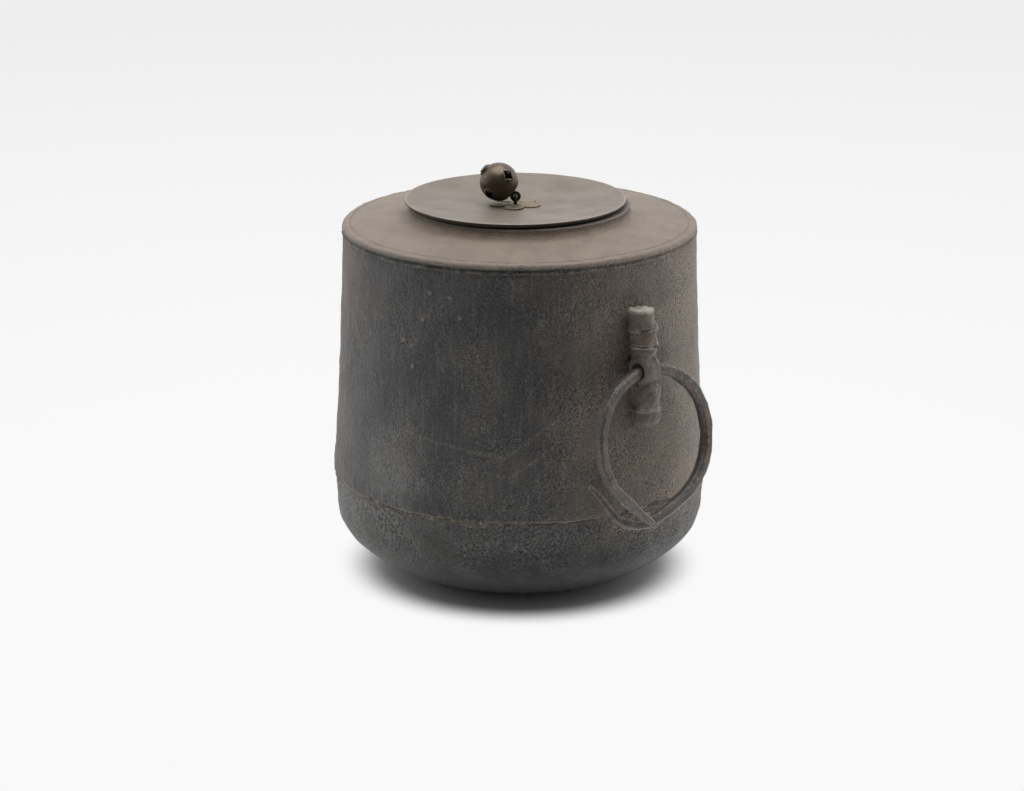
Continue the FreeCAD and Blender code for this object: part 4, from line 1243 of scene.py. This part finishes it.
class KETTLE_OT_stage(bpy.types.Operator):
    """Sets the white floor, the soft light and the camera"""
    bl_idname = "kettle.stage"
    bl_label = "Stage"

    def execute(self, context):
        stage = context.scene.kettle_stage
        heading, pitch = stage.look_from, stage.look_down
        towards = Vector((math.sin(heading), -math.cos(heading), 0))
        aside = Vector((math.cos(heading), math.sin(heading), 0))
        back = towards * math.cos(pitch) + Vector((0, 0, math.sin(pitch)))
        self.floor(stage, towards)
        self.surround(context.scene, stage, towards)
        self.softbox(stage)
        bpy.ops.object.camera_add()
        camera = context.object
        camera.name = "photo_camera"
        camera.data.sensor_width = 36.0
        camera.data.lens = stage.lens
        camera.location = aside * stage.look_aside + Vector((0, 0, stage.look_at)) + back * stage.distance
        camera.rotation_euler = (-back).to_track_quat("-Z", "Y").to_euler()
        context.scene.camera = camera
        context.scene.view_settings.view_transform = "Standard"
        return {"FINISHED"}

    @staticmethod
    def floor(stage, towards):
        """White floor that keeps the kettle's shadow."""
        bpy.ops.object.select_all(action="DESELECT")
        bpy.ops.mesh.primitive_circle_add(
            vertices=96, radius=6.0, fill_type="NGON", location=(0, 0, -0.05 * MM))
        floor = bpy.context.object
        floor.name = "studio_floor"
        floor.data.materials.append(white_floor(stage, towards))

    @staticmethod
    def softbox(stage):
        """One wide lamp overhead."""
        bpy.ops.object.light_add(type="AREA", location=(0, 0, stage.box_height))
        box = bpy.context.object
        box.name = "overhead_softbox"
        box.data.size = stage.box_width
        box.data.energy = stage.box_power

    @staticmethod
    def surround(scene, stage, towards):
        """White studio: darker on the camera's side, plain behind the kettle."""
        world = bpy.data.worlds.new("White studio")
        scene.world = world
        world.use_nodes = True
        tree = world.node_tree
        tree.nodes.clear()
        way = add(tree, "TexCoord", out="Generated")
        facing = add(tree, "VectorMath", {0: way, 1: towards}, "Value", operation="DOT_PRODUCT")
        studio = add(tree, "MapRange", {"Value": facing, "From Min": -0.1, "From Max": 0.6, "To Min": 1.0,
                                        "To Max": stage.front})
        mirrored = add(tree, "LightPath", out="Is Glossy Ray")
        through = add(tree, "LightPath", out="Is Transmission Ray")
        mirrored = add(tree, "Math", {0: mirrored, 1: through}, operation="MAXIMUM")
        bright = add(tree, "MapRange", {"Value": mirrored, "To Min": stage.surround, "To Max": 1.0})
        strength = add(tree, "Math", {0: bright, 1: studio}, operation="MULTIPLY")
        around = add(tree, "Background", {"Color": opaque(stage.white), "Strength": strength})
        plain = add(tree, "Background", {"Color": opaque(stage.far_white), "Strength": 1.0})
        seen = add(tree, "LightPath", out="Is Camera Ray")
        mixed = add(tree, "MixShader", {0: seen, 1: around, 2: plain})
        add(tree, "OutputWorld", {"Surface": mixed})


class KETTLE_PT_tools(bpy.types.Panel):
    """Lists the kettle's pieces and sizes"""
    bl_idname = "KETTLE_PT_tools"
    bl_label = "Water kettle"
    bl_space_type = "VIEW_3D"
    bl_region_type = "UI"
    bl_category = "Kettle"

    def draw(self, context):
        for operator in OPERATORS:
            self.layout.operator(operator.bl_idname)
        for name, group in SETTINGS.items():
            self.layout.label(text=group.__doc__)
            settings = getattr(context.scene, name)
            for setting in group.__annotations__:
                self.layout.prop(settings, setting)


OPERATORS = (
    KETTLE_OT_wall, KETTLE_OT_bottom, KETTLE_OT_lugs, KETTLE_OT_rings,
    KETTLE_OT_lid, KETTLE_OT_seat, KETTLE_OT_knob, KETTLE_OT_stage,
)
SETTINGS = {
    "kettle_sizes": KettleSizes,
    "lid_sizes": LidSizes,
    "kettle_finish": Finish,
    "kettle_stage": Stage,
}


def register():
    """Adds the panel, the operators and the settings."""
    for kind in (*SETTINGS.values(), *OPERATORS, KETTLE_PT_tools):
        bpy.utils.register_class(kind)
    for name, group in SETTINGS.items():
        setattr(bpy.types.Scene, name, PointerProperty(type=group))


def unregister():
    """Takes them away again."""
    for name in SETTINGS:
        delattr(bpy.types.Scene, name)
    for kind in (KETTLE_PT_tools, *reversed(OPERATORS), *reversed(SETTINGS.values())):
        bpy.utils.unregister_class(kind)


def main():
    """Models the kettle and sets up its floor, light and camera."""
    register()
    bpy.ops.kettle.wall()
    bpy.ops.kettle.bottom()
    bpy.ops.kettle.lugs()
    bpy.ops.kettle.rings()
    bpy.ops.kettle.lid()
    bpy.ops.kettle.seat()
    bpy.ops.kettle.knob()
    bpy.ops.kettle.stage()
    bpy.context.view_layer.update()


if __name__ == "__main__":
    main()
